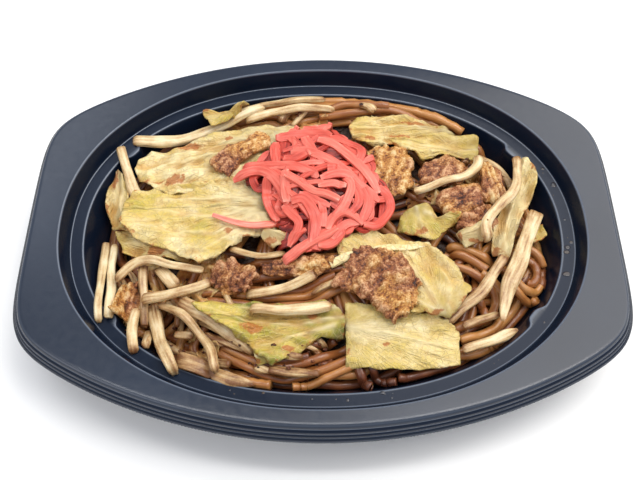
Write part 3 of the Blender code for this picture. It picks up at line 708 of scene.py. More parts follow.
for points, strands, spacing in NOODLE_BUNDLES:
    guide = evenly(points, NOODLE_RINGS)
    knotted = points[0][1] > KNOTTED_BEYOND
    bends, swing, allow = (3, 1.6, KNOT_ALLOW) if knotted else (1, 1, TOP_ALLOW)
    for strand in range(strands):
        drift = (strand - (strands - 1) / 2.0) * spacing
        phase = np.linspace(0, rng.uniform(2, 5) * bends, NOODLE_RINGS) + rng.uniform(0, 6)
        wave = drift + np.sin(phase) * rng.uniform(0.5, 1.4) * swing
        start, stop = rng.randint(0, 6), NOODLE_RINGS - rng.randint(0, 6)
        lay_noodle(beside(guide, wave)[start:stop], allow)

finish_piece("noodle_strands", noodles.bm, fried_noodle(), "noodles", "noodles")


# ======================================================================== cabbage
# Torn and cut leaves of white cabbage, fried soft: thin, pale yellow and a little translucent,
# greener where the leaf was outermost, with fine veins that fan from a white rib, curled edges,
# and brown stains of sauce. Each leaf is draped as its solid is.
LEAF_STEP, LEAF_THICK = 1.0, 0.75
# A leaf's wrinkles are this much longer, along its main rib, than they are wide.
WRINKLE_STRETCH = 3.6
# A leaf lies a little inside its solid's top, a scrap this far above the noodle heap's, and a
# leaf that overlaps others this far above them.
LEAF_SINK, SCRAP_RISE, OVERLAP_RISE = 0.35, 2.6, 1.6
TURNS = 720
LEAF_MARKS = ("green", "stain", "vein", "crease")


def outline_reach(corners, middle):
    """How far the edge of a cut piece is from its middle, at TURNS angles."""
    reach = np.zeros(TURNS)
    corners = [np.array(corner, float) - middle for corner in corners]
    for k in range(TURNS):
        angle = math.tau * k / TURNS
        way = np.array([math.cos(angle), math.sin(angle)])
        for a, b in zip(corners, corners[1:] + corners[:1]):
            run = b - a
            cross = way[0] * run[1] - way[1] * run[0]
            if abs(cross) < 1e-9:
                continue
            far = (a[0] * run[1] - a[1] * run[0]) / cross
            part = (a[0] * way[1] - a[1] * way[0]) / cross
            if far > 0.0 and -1e-6 <= part <= 1.000001:
                reach[k] = max(reach[k], far)
    for sweep in range(4):
        reach = (np.roll(reach, 1) + 2.0 * reach + np.roll(reach, -1)) / 4.0
    return reach


def draped_sheet(corners, tree, ragged, seed, over):
    """A grid spread to a torn outline and draped on a surface, and over what it overlaps: the
    bmesh, and arrays of its x, y, z and share from the middle, laid out as the grid is."""
    middle = np.mean(corners, axis=0)
    reach = outline_reach(corners, middle)
    span = max(np.ptp([c[0] for c in corners]), np.ptp([c[1] for c in corners]))
    parts = int(np.clip(span / LEAF_STEP, 16, 72))
    bm = bmesh.new()
    bmesh.ops.create_grid(bm, x_segments=parts, y_segments=parts, size=1.0)
    for key in LEAF_MARKS:
        bm.verts.layers.float.new(key)
    bm.verts.layers.float_vector.new("flow")
    verts = sorted(bm.verts, key=lambda vert: (round(vert.co.x * parts), round(vert.co.y * parts)))
    side = int(round(math.sqrt(len(verts))))
    a = np.array([vert.co.x for vert in verts]).reshape(side, side)
    b = np.array([vert.co.y for vert in verts]).reshape(side, side)
    wide = np.abs(a) > np.abs(b)
    share = np.where(wide, np.abs(a), np.abs(b))
    safe_a, safe_b = np.where(wide, a, 1.0), np.where(wide, 1.0, np.where(b == 0, 1.0, b))
    turn = np.where(wide, math.pi / 4 * b / safe_a + np.where(a < 0, math.pi, 0.0),
                    math.pi / 2 - math.pi / 4 * a / safe_b + np.where(b < 0, math.pi, 0.0))
    far = np.interp(np.mod(turn, math.tau), np.linspace(0, math.tau, TURNS + 1),
                    np.append(reach, reach[0]))
    notch = np.array([[noise.noise(Vector((f * math.cos(t) / 7.0, f * math.sin(t) / 7.0, seed)))
                       + 0.3 * noise.noise(Vector((f * math.cos(t) / 2.5, f * math.sin(t) / 2.5,
                                                   seed + 9.0)))
                       for f, t in zip(*row)] for row in zip(far, turn)])
    out = share * far + ragged * notch * share ** 3
    x, y = middle[0] + out * np.cos(turn), middle[1] + out * np.sin(turn)
    z = np.array([[top_at(tree, px, py) for px, py in zip(*row)] for row in zip(x, y)])
    for lower in over:
        for place in np.ndindex(z.shape):
            hit = seen_down(lower, x[place], y[place])
            if hit:
                z[place] = max(z[place], hit.z + OVERLAP_RISE)
    for sweep in range(5):
        mean = z.copy()
        mean[1:-1] += (z[:-2] + z[2:]) / 2.0
        mean[1:-1, 1:-1] += (z[1:-1, :-2] + z[1:-1, 2:]) / 2.0
        mean[1:-1, 1:-1] /= 3.0
        mean[1:-1, 0] /= 2.0
        mean[1:-1, -1] /= 2.0
        z = mean
    return bm, verts, x, y, z, share


def line_distance(x, y, points):
    """How far each place is from a bent line, and how far along the line it is, 0 to 1."""
    best = np.full(x.shape, 1e9)
    where = np.zeros(x.shape)
    total = len(points) - 1.0
    for k, (a, b) in enumerate(zip(points, points[1:])):
        run = (b[0] - a[0], b[1] - a[1])
        square = run[0] ** 2 + run[1] ** 2
        part = np.clip(((x - a[0]) * run[0] + (y - a[1]) * run[1]) / square, 0.0, 1.0)
        off = np.hypot(x - a[0] - part * run[0], y - a[1] - part * run[1])
        where = np.where(off < best, (k + part) / total, where)
        best = np.minimum(best, off)
    return best, where


def waves(x, y, size, seed):
    """Smooth noise over the sheet with hills about this wide."""
    return np.array([[noise.noise(Vector((px / size, py / size, seed)))
                      for px, py in zip(*row)] for row in zip(x, y)])


def cooked_leaf():
    """Fried cabbage: thin wet leaf, cream to yellow with greener flushes, light veins in a fine
    net, sauce stains that soak in, painted shade in the creases, and a soft oily shine; light
    comes through the thin edge."""
    material, tree = new_material("fried_cabbage_leaf")
    spot = add_node(tree, "TexCoord", output="Object")
    green = add_node(tree, "Attribute", attribute_name="green", output="Fac")
    stain = add_node(tree, "Attribute", attribute_name="stain", output="Fac")
    vein = add_node(tree, "Attribute", attribute_name="vein", output="Fac")
    flow = add_node(tree, "Attribute", attribute_name="flow", output="Vector")
    warp = add_node(tree, "TexNoise", Vector=spot, Scale=per_mm(7), Detail=3.0)
    flush = add_node(tree, "Math", warp, 0.7, -0.35, operation="MULTIPLY_ADD")
    greened = add_node(tree, "Math", green, flush, operation="ADD")
    leaf = add_node(tree, "ValToRGB", Fac=greened, stops=((0.0, "#F2DDA6"), (0.22, "#E0C47A"),
                    (0.42, "#D8BB5F"), (0.62, "#C9B44E"), (0.8, "#A2993A"), (1.0, "#5C6425")))
    fibre = add_node(tree, "Mapping", Vector=flow, Scale=(0.1, 1.0, 1.0))
    fine = add_node(tree, "TexNoise", Vector=fibre, Scale=per_mm(1.0), Detail=4.0)
    net = add_node(tree, "TexVoronoi", Vector=spot, Scale=per_mm(2.6), Randomness=1.0,
                   feature="DISTANCE_TO_EDGE")
    line = add_node(tree, "MapRange", Value=net, From_Min=0.0, From_Max=0.1, To_Min=0.32,
                    To_Max=0.0)
    streak = add_node(tree, "MapRange", Value=fine, From_Min=0.5, From_Max=0.72, To_Min=0.0,
                      To_Max=0.4)
    both = add_node(tree, "Math", line, vein, operation="MAXIMUM")
    pale = add_node(tree, "Math", both, streak, operation="MAXIMUM")
    veined = add_node(tree, "Mix", Factor=pale, A=leaf, B=linear("#EBD6A2"), data_type="RGBA",
                      output="Result")
    grit = add_node(tree, "TexNoise", Vector=spot, Scale=per_mm(2.4), Detail=6.0, Roughness=0.65)
    sauced = add_node(tree, "MapRange", Value=grit, From_Min=0.56, From_Max=0.78, To_Min=0.0,
                      To_Max=0.4)
    crease = add_node(tree, "Attribute", attribute_name="crease", output="Fac")
    frayed = add_node(tree, "Math", grit, 2.4, -1.2, operation="MULTIPLY_ADD")
    blot = add_node(tree, "Math", stain, frayed, operation="ADD")
    spread = add_node(tree, "MapRange", Value=blot, From_Min=0.45, From_Max=0.75, To_Min=0.0,
                      To_Max=0.85)
    # Painted shade in the wrinkles' creases, with a wash of sauce, darkens the leaf towards brown.
    washed = add_node(tree, "Math", crease, 0.55, sauced, operation="MULTIPLY_ADD",
                      use_clamp=True)
    tinted = add_node(tree, "Mix", Factor=washed, A=veined, B=linear("#C79A54"), data_type="RGBA",
                      output="Result")
    colour = add_node(tree, "Mix", Factor=spread, A=tinted, B=linear("#B76C33"), data_type="RGBA",
                      output="Result")
    rough = add_node(tree, "MapRange", Value=warp, From_Min=0.3, From_Max=0.7, To_Min=0.28,
                     To_Max=0.5)
    relief = add_node(tree, "Math", fine, 1.0, pale, operation="MULTIPLY_ADD")
    rough_skin = add_node(tree, "Math", grit, 0.8, relief, operation="MULTIPLY_ADD")
    bump = add_node(tree, "Bump", Height=rough_skin, Strength=0.8, Distance=0.0012)
    shader = add_node(tree, "BsdfPrincipled", Base_Color=colour, Roughness=rough, IOR=1.4,
                      Subsurface_Weight=0.15, Subsurface_Radius=(0.003, 0.0025, 0.001),
                      Subsurface_Scale=1.0, Coat_Weight=0.25, Coat_Roughness=0.2, Normal=bump)
    add_node(tree, "OutputMaterial", shader)
    return material


# Each leaf: its outline, how ragged it is torn, how green it is, how strongly it is wrinkled,
# how much sauce it took up, its ribs from the root end outwards, its folds (line, half width,
# height), its stains (x, y, half width, half depth), its flushes of more or less green (line,
# half width, strength) and its lifted corners (x, y, radius, height). over names the pieces it
# overlaps, on the solid a scrap lies on, and thick is a stem's thickness.
LEAVES = {
    "cabbage_big_left": dict(
        outline=[(-88, 12), (-83, 18), (-73, 20), (-57, 20), (-42, 23), (-29, 24), (-24, 9),
                 (-19, -4), (-33, -9), (-43, -17), (-51, -21), (-64, -14), (-79, -8), (-88, 1)],
        over=("cabbage_back_left", "pork_back_left"), ragged=1.0, green=0.14, wrinkle=1.0,
        ribs=[[(-24, 8), (-45, 2), (-66, 6), (-84, 10)],
              [(-26, 4), (-46, -6), (-66, -4), (-82, 0)],
              [(-26, 12), (-46, 12), (-62, 13), (-74, 14)], [(-28, 0), (-42, -8), (-52, -16)]],
        folds=[([(-80, 8), (-62, 2), (-45, -7)], 4.5, 1.6),
               ([(-84, 0), (-66, -8), (-50, -17)], 4, 1.2),
               ([(-78, 12), (-60, 11), (-40, 14)], 4, -1.0)],
        stains=[(-40, -5, 2.2, 1.6)],
        flush=[([(-80, 9), (-66, 6), (-54, -3), (-45, -12)], 4.5, 0.34),
               ([(-86, 8), (-78, 15), (-66, 17)], 3.0, 0.12),
               ([(-27, 14), (-31, -2)], 10.0, -0.4)],
        lifts=[(-52, -20, 7, 2.2), (-86, 4, 7, 1.2)]),
    "cabbage_back_left": dict(
        outline=[(-85, 32), (-83, 38), (-76, 42), (-64, 44), (-54, 48), (-40, 53), (-26, 55),
                 (-12, 53), (-18, 36), (-32, 22), (-50, 16), (-68, 16), (-76, 21), (-83, 26)],
        ragged=1.2, green=0.02, wrinkle=1.4,
        ribs=[[(-22, 44), (-42, 38), (-62, 33), (-82, 33)],
              [(-22, 42), (-42, 31), (-62, 26), (-80, 28)], [(-24, 46), (-48, 42), (-72, 38)]],
        folds=[([(-80, 34), (-60, 36), (-38, 42)], 4, 1.2),
               ([(-76, 26), (-56, 24), (-38, 28)], 4, 1.0)],
        stains=[(-66, 23, 5.0, 2.8), (-43, 47, 2.2, 1.4), (-61, 43.5, 5.5, 1.5), (-74, 23, 3, 1)],
        lifts=[(-83, 33, 8, 2.0)]),
    "cabbage_back_scrap": dict(
        outline=[(-57, 64), (-48, 65), (-34, 65), (-38, 58), (-44, 54), (-51, 52), (-55, 58)],
        ragged=0.3, green=0.28,
        ribs=[[(-36, 63), (-46, 61), (-55, 60)]],
        folds=[([(-38, 62), (-54, 58)], 4, 1.5)]),
    "cabbage_left_fold": dict(
        outline=[(-93, 32), (-96, 24), (-96, 12), (-92, 2), (-82, -3), (-80, 2), (-87, 13),
                 (-88, 23)],
        ragged=0.9, green=0.14, wrinkle=1.5, sauce=0.3,
        ribs=[[(-91, 30), (-91, 14), (-84, -1)]],
        folds=[([(-92, 28), (-90, 12), (-82, -1)], 2.2, 2.6), ([(-95, 22), (-94, 6)], 1.6, -1.4)],
        stains=[(-94, 26, 1.2, 4)],
        lifts=[(-96, 18, 8, 1.8)]),
    "cabbage_left_under": dict(
        outline=[(-91, 0), (-76, 0), (-60, -12), (-54, -18), (-68, -16), (-86, -11)],
        ragged=1.0, green=0.15, wrinkle=1.4, sauce=0.6,
        ribs=[[(-60, -16), (-74, -8), (-88, -6)]],
        stains=[(-70, -12, 6, 2.5)]),
    "cabbage_front_green": dict(
        outline=[(-54, -38), (-44, -36), (-30, -37), (-14, -38), (2, -36), (10, -44), (8, -53),
                 (0, -52), (-10, -58), (-20, -64), (-31, -55), (-43, -47)],
        ragged=1.6, green=0.67, wrinkle=1.3,
        ribs=[[(8, -44), (-12, -47), (-32, -45), (-50, -39)], [(4, -48), (-12, -52), (-26, -56)],
              [(6, -40), (-14, -41), (-34, -39)]],
        folds=[([(8, -47), (-14, -50), (-34, -47)], 3.5, 1.4), ([(-4, -54), (-20, -58)], 3, 1.2)],
        stains=[(-28, -49, 4.4, 3.0), (-4, -44, 3, 1.0), (-14, -57, 3, 1.2)],
        lifts=[(-20, -62, 6, 1.2), (8, -50, 5, 1.5)]),
    "cabbage_back_pale": dict(
        outline=[(12, 51), (15, 57), (26, 58), (42, 59), (56, 56), (63, 51), (48, 48), (37, 45),
                 (29, 42), (18, 42), (13, 45)],
        ragged=1.6, green=0.14, wrinkle=1.5, sauce=0.2,
        ribs=[[(60, 52), (36, 52), (16, 50)]],
        folds=[([(56, 53), (36, 51), (18, 48)], 2.2, 2.4), ([(40, 56), (20, 54)], 2, 1.6),
               ([(60, 56), (44, 56), (30, 53)], 1.3, -1.6)],
        stains=[(46, 55, 9, 1.3), (22, 45, 3, 1), (36, 47, 5, 1.0)],
        lifts=[(14, 48, 5, 1.6)]),
    "cabbage_back_yellow": dict(
        outline=[(30, 42), (40, 46), (56, 50), (73, 50), (71, 37), (58, 38), (45, 34), (38, 37)],
        ragged=0.7, green=0.28,
        ribs=[[(72, 43), (54, 43), (36, 41)]],
        folds=[([(72, 48), (54, 47.5), (36, 42)], 1.9, 3.0),
               ([(71, 40), (56, 40), (42, 37)], 1.7, 2.6),
               ([(73, 44), (55, 43.5), (38, 40)], 1.5, -2.2)],
        stains=[(60, 36.5, 5, 0.8)],
        lifts=[(72, 48, 5, 1.8)]),
    "cabbage_small_green": dict(
        outline=[(31, -4), (33, 4), (45, 9), (50, 2), (59, 1), (47, -9)],
        ragged=1.0, green=0.4,
        ribs=[[(40, 6), (43, -6)], [(44, 4), (56, 0)]],
        folds=[([(34, 0), (44, -2), (54, 0)], 2.5, 1.6)],
        stains=[(42, -5, 2.6, 1.5)],
        lifts=[(46, 8, 5, 2.0), (57, 1, 4, 1.5)]),
    "cabbage_right_ragged": dict(
        outline=[(6, -9), (17, -4), (30, -8), (41, -10), (54, -18), (60, -31), (57, -39),
                 (50, -46), (36, -42), (20, -34), (8, -22)],
        ragged=1.8, green=0.2, sauce=0.15,
        ribs=[[(48, -44), (42, -30), (34, -18), (20, -8)], [(50, -42), (52, -30), (48, -20)],
              [(46, -42), (30, -34), (14, -20)]],
        folds=[([(20, -12), (34, -16), (50, -20)], 4, 1.0),
               ([(46, -42), (48, -30), (44, -20)], 4, -0.8)],
        stains=[(46, -43, 3, 1.2), (22, -16, 3, 2)],
        lifts=[(59, -33, 6, 1.8), (54, -19, 5, 1.8), (8, -10, 4, 2.5), (20, -6, 4, 2.2),
               (31, -9, 4, 2.6), (43, -12, 4, 2.0)]),
    "cabbage_front_square": dict(
        outline=[(9, -37), (30, -38), (50, -45), (55, -49), (54, -63), (32, -65), (9, -64)],
        ragged=0.5, green=0.16, wrinkle=0.45,
        ribs=[[(8, -48), (24, -50), (40, -54), (55, -56)]],
        folds=[([(12, -50), (30, -54), (52, -56)], 6, 1.0)],
        stains=[(25, -55, 1.5, 1.2)]),
    "cabbage_right_tall": dict(
        outline=[(90, 37), (93, 36), (96, 27), (93, 17), (89, 9), (83, -4), (78, -18), (71, -16),
                 (73, -1), (79, 10), (86, 22)],
        ragged=0.8, green=-0.06, wrinkle=1.4, sauce=0.2,
        ribs=[[(75, -16), (79, 0), (86, 16), (91, 34)]],
        folds=[([(75, -16), (79, 0), (86, 16), (91, 34)], 2.2, 2.4),
               ([(90, 28), (88, 12), (80, -8)], 1.6, -1.4)],
        stains=[(73, -14, 1.5, 3)],
        lifts=[(95, 25, 6, 2.0)]),
    "cabbage_right_stem": dict(
        outline=[(56, -6), (68, 0), (71, -7), (60, -13)],
        thick=2.6, ragged=0.4, green=-0.15, wrinkle=0.8, sauce=0.5,
        ribs=[[(57, -9), (70, -3)]],
        folds=[([(57, -8), (70, -2)], 2.2, 4.0)],
        stains=[(57, -9, 1.8, 2.4), (70, -4, 1.3, 2.2), (64, -9.5, 4.0, 0.8)]),
    "cabbage_right_curl": dict(
        outline=[(91, 4), (97, 5), (99, 0), (92, -5)],
        ragged=0.6, green=0.3,
        stains=[(92, -2, 2, 1)]),
    "leaf_scrap_front": dict(
        outline=[(-28, -57), (-20, -56), (-15, -58), (-19, -62.5), (-26, -63.5)],
        on="noodles", ragged=0.8, green=0.42,
        ribs=[[(-27, -60), (-17, -59)]],
        folds=[([(-27, -61), (-17, -60)], 1.6, 1.4)],
        stains=[(-26, -62, 2, 1)]),
    "leaf_scrap_middle": dict(
        outline=[(-25, -4), (-19, -2), (-14, -6), (-15, -11), (-21, -13.5), (-26, -9)],
        on="noodles", ragged=1.2, green=-0.15, wrinkle=1.6, sauce=0.6,
        ribs=[[(-25, -6), (-15, -9)]],
        folds=[([(-25, -7), (-15, -8)], 1.8, 2.0)],
        stains=[(-22, -11, 3, 1.6), (-16, -6, 1.6, 3)]),
}
# The stiff white rib that stands free along the edge of one leaf.
RIB_RINGS, RIB_RISE = 40, 1.1
LEAF_RIB = [(3, -21), (10, -18), (17, -16.5), (27, -14), (36, -13.5), (45, -11)]

leaf_material = cooked_leaf()
for order, (name, leaf) in enumerate(LEAVES.items()):
    tree = solid_tree(leaf.get("on", name))
    seed = 3.7 * order + 1.0
    below = [solid_tree(lower) for lower in leaf.get("over", ())]
    ribs = leaf.get("ribs", [])
    bm, verts, x, y, z, share = draped_sheet(leaf["outline"], tree, leaf["ragged"], seed, below)
    z = z + (SCRAP_RISE if "on" in leaf else -LEAF_SINK)
    # Ribs stand up from the leaf, and are thinner and lower towards their tips.
    vein = np.zeros(x.shape)
    for rib in ribs:
        off, where = line_distance(x, y, rib)
        strength = 1.0 - 0.65 * where
        z += 0.55 * strength * np.exp(-(off / (1.1 * strength + 0.3)) ** 2)
        vein = np.maximum(vein, strength * np.exp(-(off / (1.0 * strength + 0.25)) ** 2))
    for line, width, height in leaf.get("folds", []):
        off, where = line_distance(x, y, line)
        z += 0.6 * height * np.exp(-(off / width) ** 2)
    for px, py, radius, height in leaf.get("lifts", []):
        z += height * np.exp(-(np.hypot(x - px, y - py) / radius) ** 2) * share ** 2
    main_rib = ribs[0] if ribs else [(0.0, 0.0), (0.0, 1.0)]
    root, tip = main_rib[0], main_rib[-1]
    lean = math.atan2(tip[1] - root[1], tip[0] - root[0])
    along = (x * math.cos(lean) + y * math.sin(lean)) / WRINKLE_STRETCH
    across = y * math.cos(lean) - x * math.sin(lean)
    wrinkle = leaf.get("wrinkle", 1.0)
    furrow = 1.0 - 2.0 * np.abs(waves(along, across, 5.0, seed + 20.0))
    pucker = waves(along * 1.8, across, 2.6, seed + 24.0)
    # Wrinkles and puckers, then slow swells, a fine unevenness, and an edge that curls.
    z += wrinkle * (1.2 * furrow + 0.8 * pucker) - 0.5
    z += 0.9 * waves(x, y, 8.0, seed) + 0.35 * waves(x, y, 2.3, seed + 3.0)
    z += 2.6 * share ** 3 * waves(x, y, 7.0, seed + 6.0)
    # Painted shade darkens the creases, sauce washes over the leaf, stains in blots, and browns
    # the torn edge in places.
    crease = np.clip(0.55 - 0.8 * furrow - 1.2 * pucker, 0.0, 1.0) * wrinkle
    crease = crease + leaf.get("sauce", 0.0) * (0.8 + waves(x, y, 4.0, seed + 40.0))
    stain = np.zeros(x.shape)
    for px, py, wide, deep in leaf.get("stains", []):
        blot = 1.5 - np.hypot((x - px) / wide, (y - py) / deep)
        stain = np.maximum(stain, np.clip(blot, 0.0, 1.0))
    stain = np.maximum(stain, 1.6 * np.clip(share - 0.86, 0.0, 1.0)
                       * np.clip(waves(x, y, 5.0, seed + 30.0) * 2.0 + 0.4, 0.0, 1.0) * 3.0)
    green = leaf["green"] + 0.26 * waves(x, y, 11.0, seed + 12.0)
    green += 0.16 * waves(along, across, 3.0, seed + 15.0)
    for line, width, strength in leaf.get("flush", []):
        off, where = line_distance(x, y, line)
        green += strength * np.exp(-(off / width) ** 2)
    green += 0.10 * share ** 3
    layers = [bm.verts.layers.float[key] for key in LEAF_MARKS]
    flow = bm.verts.layers.float_vector["flow"]
    for vert, px, py, pz, *marks in zip(verts, x.flat, y.flat, z.flat, green.flat, stain.flat,
                                        vein.flat, crease.flat):
        vert.co = (px, py, pz)
        for layer, mark in zip(layers, marks):
            vert[layer] = mark
        away = math.hypot(px - root[0], py - root[1])
        turn = math.atan2(py - root[1], px - root[0])
        vert[flow] = Vector((away, turn * 30.0, order * 50.0)) * MM
    bmesh.ops.recalc_face_normals(bm, faces=bm.faces)
    if sum(face.normal.z for face in bm.faces) < 0.0:
        bmesh.ops.reverse_faces(bm, faces=bm.faces)
    replaced = [] if "on" in leaf else [name]
    piece = finish_piece(name.replace("cabbage", "leaf"), bm, leaf_material, "cabbage", *replaced)
    thicken(piece, leaf.get("thick", LEAF_THICK))

rib = Strands(RIB_RINGS, 12)
flat = evenly(LEAF_RIB, RIB_RINGS)
height = smoothed(tops_along("cabbage_right_ragged", flat) + RIB_RISE, 6)
rib.bend(np.column_stack([flat, height]), 1.9 - 0.6 * np.linspace(0.0, 1.0, RIB_RINGS) ** 2, 0.0,
         section=3.0, flat=0.42, twist=(0.3, -0.4), dents=[(1.6, 0.4, 0.3)])
finish_piece("leaf_rib", rib.bm, leaf_material, "cabbage")


# ======================================================================== pork
# Thin slices and scraps of pork belly fried at high heat: ruffled, browned and grainy, with
# painted shade in the folds and painted light on the raised crust, and paler fat that has
# turned golden.
PORK_VOXEL = 0.75
SLICE_SWEEPS = 3
# The crumbly piece is worn round, and swollen again to its size.
CRUMB, CRUMB_SWEEPS, CRUMB_SWELL = "pork_left_crumb", 70, 1.28
# The slices at the right are plumper than their solids by this much.
RIGHT_FROM, RIGHT_PLUMP = 50, 0.9


def fried_pork():
    """Seared pork: fine grained brown crust, golden fat, painted shade in the creases and
    painted light on the knobs, wet with oil.
    """
    material, tree = new_material("seared_pork")
    spot = add_node(tree, "TexCoord", output="Object")
    relief = add_node(tree, "Attribute", attribute_name="relief", output="Fac")
    fat = add_node(tree, "Attribute", attribute_name="fat", output="Fac")
    grain = add_node(tree, "TexNoise", Vector=spot, Scale=per_mm(1.1), Detail=6.0, Roughness=0.7)
    crust = add_node(tree, "TexVoronoi", Vector=spot, Scale=per_mm(0.9))
    # Colour follows the relief: painted light on what stands up, painted shade in the crevices and
    # between the crust's cells.
    lifted = add_node(tree, "Math", grain, 0.85, relief, operation="MULTIPLY_ADD")
    sunk = add_node(tree, "Math", crust, -0.32, lifted, operation="MULTIPLY_ADD")
    lean = add_node(tree, "ValToRGB", Fac=sunk, stops=((0.14, "#2C1108"), (0.3, "#6B3519"),
                    (0.47, "#A5653A"), (0.72, "#E2AE80")))
    rich = add_node(tree, "ValToRGB", Fac=sunk, stops=((0.14, "#5A2C12"), (0.3, "#A8682D"),
                    (0.47, "#D59A50"), (0.72, "#F6D69C")))
    colour = add_node(tree, "Mix", Factor=fat, A=lean, B=rich, data_type="RGBA", output="Result")
    rough = add_node(tree, "MapRange", Value=grain, From_Min=0.35, From_Max=0.65, To_Min=0.3,
                     To_Max=0.55)
    bump = add_node(tree, "Bump", Height=sunk, Strength=0.9, Distance=0.0014)
    shader = add_node(tree, "BsdfPrincipled", Base_Color=colour, Roughness=rough, IOR=1.45,
                      Subsurface_Weight=0.08, Subsurface_Radius=(0.002, 0.001, 0.0006),
                      Subsurface_Scale=1.0, Coat_Weight=0.2, Coat_Roughness=0.2, Normal=bump)
    add_node(tree, "OutputMaterial", shader)
    return material


# Each slice: how fatty it is, how strongly it is ruffled, how knobbly its crust is, where it is
# fatter (x, y, radius), and how its ribs of muscle run (degrees, spacing, depth).
SLICES = {
    "pork_back_left": (0.30, 1.0, 0.6, (-20, 45, 7), (40, 3.4, 0.25)),
    "pork_left_crumb": (-0.05, 1.6, 1.6, (-50, -22, 4), (70, 3.0, 0.3)),
    "pork_front_large": (-0.15, 1.4, 1.3, (33, -43, 15), (20, 5.0, 0.2)),
    "pork_back_fatty": (0.75, 1.7, 0.6, (28, 30, 10), (75, 4.5, 0.6)),
    "pork_back_middle": (0.0, 1.1, 0.5, (52, 34, 6), (60, 2.6, 0.3)),
    "pork_right_broad": (0.05, 1.0, 0.5, (62, 20, 6), (15, 2.8, 0.25)),
    "pork_right_ribbed": (0.05, 0.9, 0.3, (74, 28, 5), (97, 2.5, 0.8)),
    "pork_right_dark": (-0.8, 1.3, 1.2, (72, 8, 3), (30, 2.4, 0.3)),
    "pork_middle_strip": (0.0, 1.2, 1.0, (-5, -26, 8), (5, 3.6, 0.3)),
    "pork_left_flap": (0.55, 1.3, 0.2, (-88, -40, 6), (80, 3.4, 0.6)),
}
pork_material = fried_pork()


def remeshed(name, voxel):
    """A fine even closed mesh of a solid, in metres, ready to be worked."""
    bm = solid_copy(name)
    mesh = bpy.data.meshes.new("working")
    bm.to_mesh(mesh)
    bm.free()
    working = put_in_scene("working", mesh)
    even = working.modifiers.new("even", "REMESH")
    even.mode = "VOXEL"
    even.voxel_size = voxel * MM
    bpy.context.view_layer.update()
    fine = bpy.data.meshes.new_from_object(
        working.evaluated_get(bpy.context.evaluated_depsgraph_get()))
    bpy.data.objects.remove(working)
    bm = bmesh.new()
    bm.from_mesh(fine)
    return bm


for order, (name, (fattiness, ruffle, knobs, fatter, ribs)) in enumerate(SLICES.items()):
    bm = remeshed(name, PORK_VOXEL)
    grain_way = math.radians(ribs[0])
    rescale(bm, 1 / MM)
    for sweep in range(CRUMB_SWEEPS if name == CRUMB else SLICE_SWEEPS):
        bmesh.ops.smooth_vert(bm, verts=bm.verts, factor=0.5, use_axis_x=True, use_axis_y=True,
                              use_axis_z=True)
    if name == CRUMB:
        middle = sum((vert.co for vert in bm.verts), Vector()) / len(bm.verts)
        for vert in bm.verts:
            vert.co = middle + (vert.co - middle) * CRUMB_SWELL
    for key in ("relief", "fat"):
        bm.verts.layers.float.new(key)
    relief_layer, fat_layer = (bm.verts.layers.float[key] for key in ("relief", "fat"))
    bm.normal_update()
    # Knobs and crumbs of crust, a slow swell, and the ribs of the muscle raise the surface, and
    # its colour is painted lighter where raised and darker where sunk, as painted light and shade;
    # fat lies in patches of its own.
    places = [vert.co.copy() for vert in bm.verts]
    for vert, place in zip(bm.verts, places):
        spot = Vector((place.x, place.y, place.z + 13.0 * order))
        knob = abs(noise.noise(spot / 4.6)) * 2.2
        crumb = abs(noise.noise(spot / 2.1 + Vector((7.0, 0.0, 0.0)))) * 2.0
        swell = noise.noise(spot / 9.0)
        rise = ruffle * (knobs * (0.9 * knob + 0.5 * crumb - 0.65) + 1.1 * swell + 0.1)
        across = place.y * math.cos(grain_way) - place.x * math.sin(grain_way)
        rib = math.sin(math.tau * across / ribs[1] + 4.0 * swell) * ribs[2]
        plump = RIGHT_PLUMP * (fatter[0] > RIGHT_FROM)
        vert.co = place + vert.normal * (rise + 0.7 * rib + plump)
        vert[relief_layer] = (-0.01 + 0.24 * min(knob, 1.0) + 0.18 * min(crumb, 1.0)
                              + (0.22 if knobs > 0.8 else 0.10) * swell + 0.16 * rib)
        cell = noise.noise(spot / 7.0 + Vector((40.0, 0.0, 0.0)))
        away = math.hypot(place.x - fatter[0], place.y - fatter[1]) / fatter[2]
        vert[fat_layer] = min(1.0, max(0.0, fattiness + 1.5 * cell
                                       + 1.2 * math.exp(-away * away)))
    finish_piece(name.replace("pork", "slice"), bm, pork_material, "pork", name)


# ======================================================================== bean sprouts
# Mung bean sprouts, fried limp: pale round stems 4 to 7 mm thick, glassy where they are wet,
# a little flattened and dented, each tapering to a brown root thread or broken off short.
SPROUT_SIDES, SPROUT_STEP = 18, 1.3


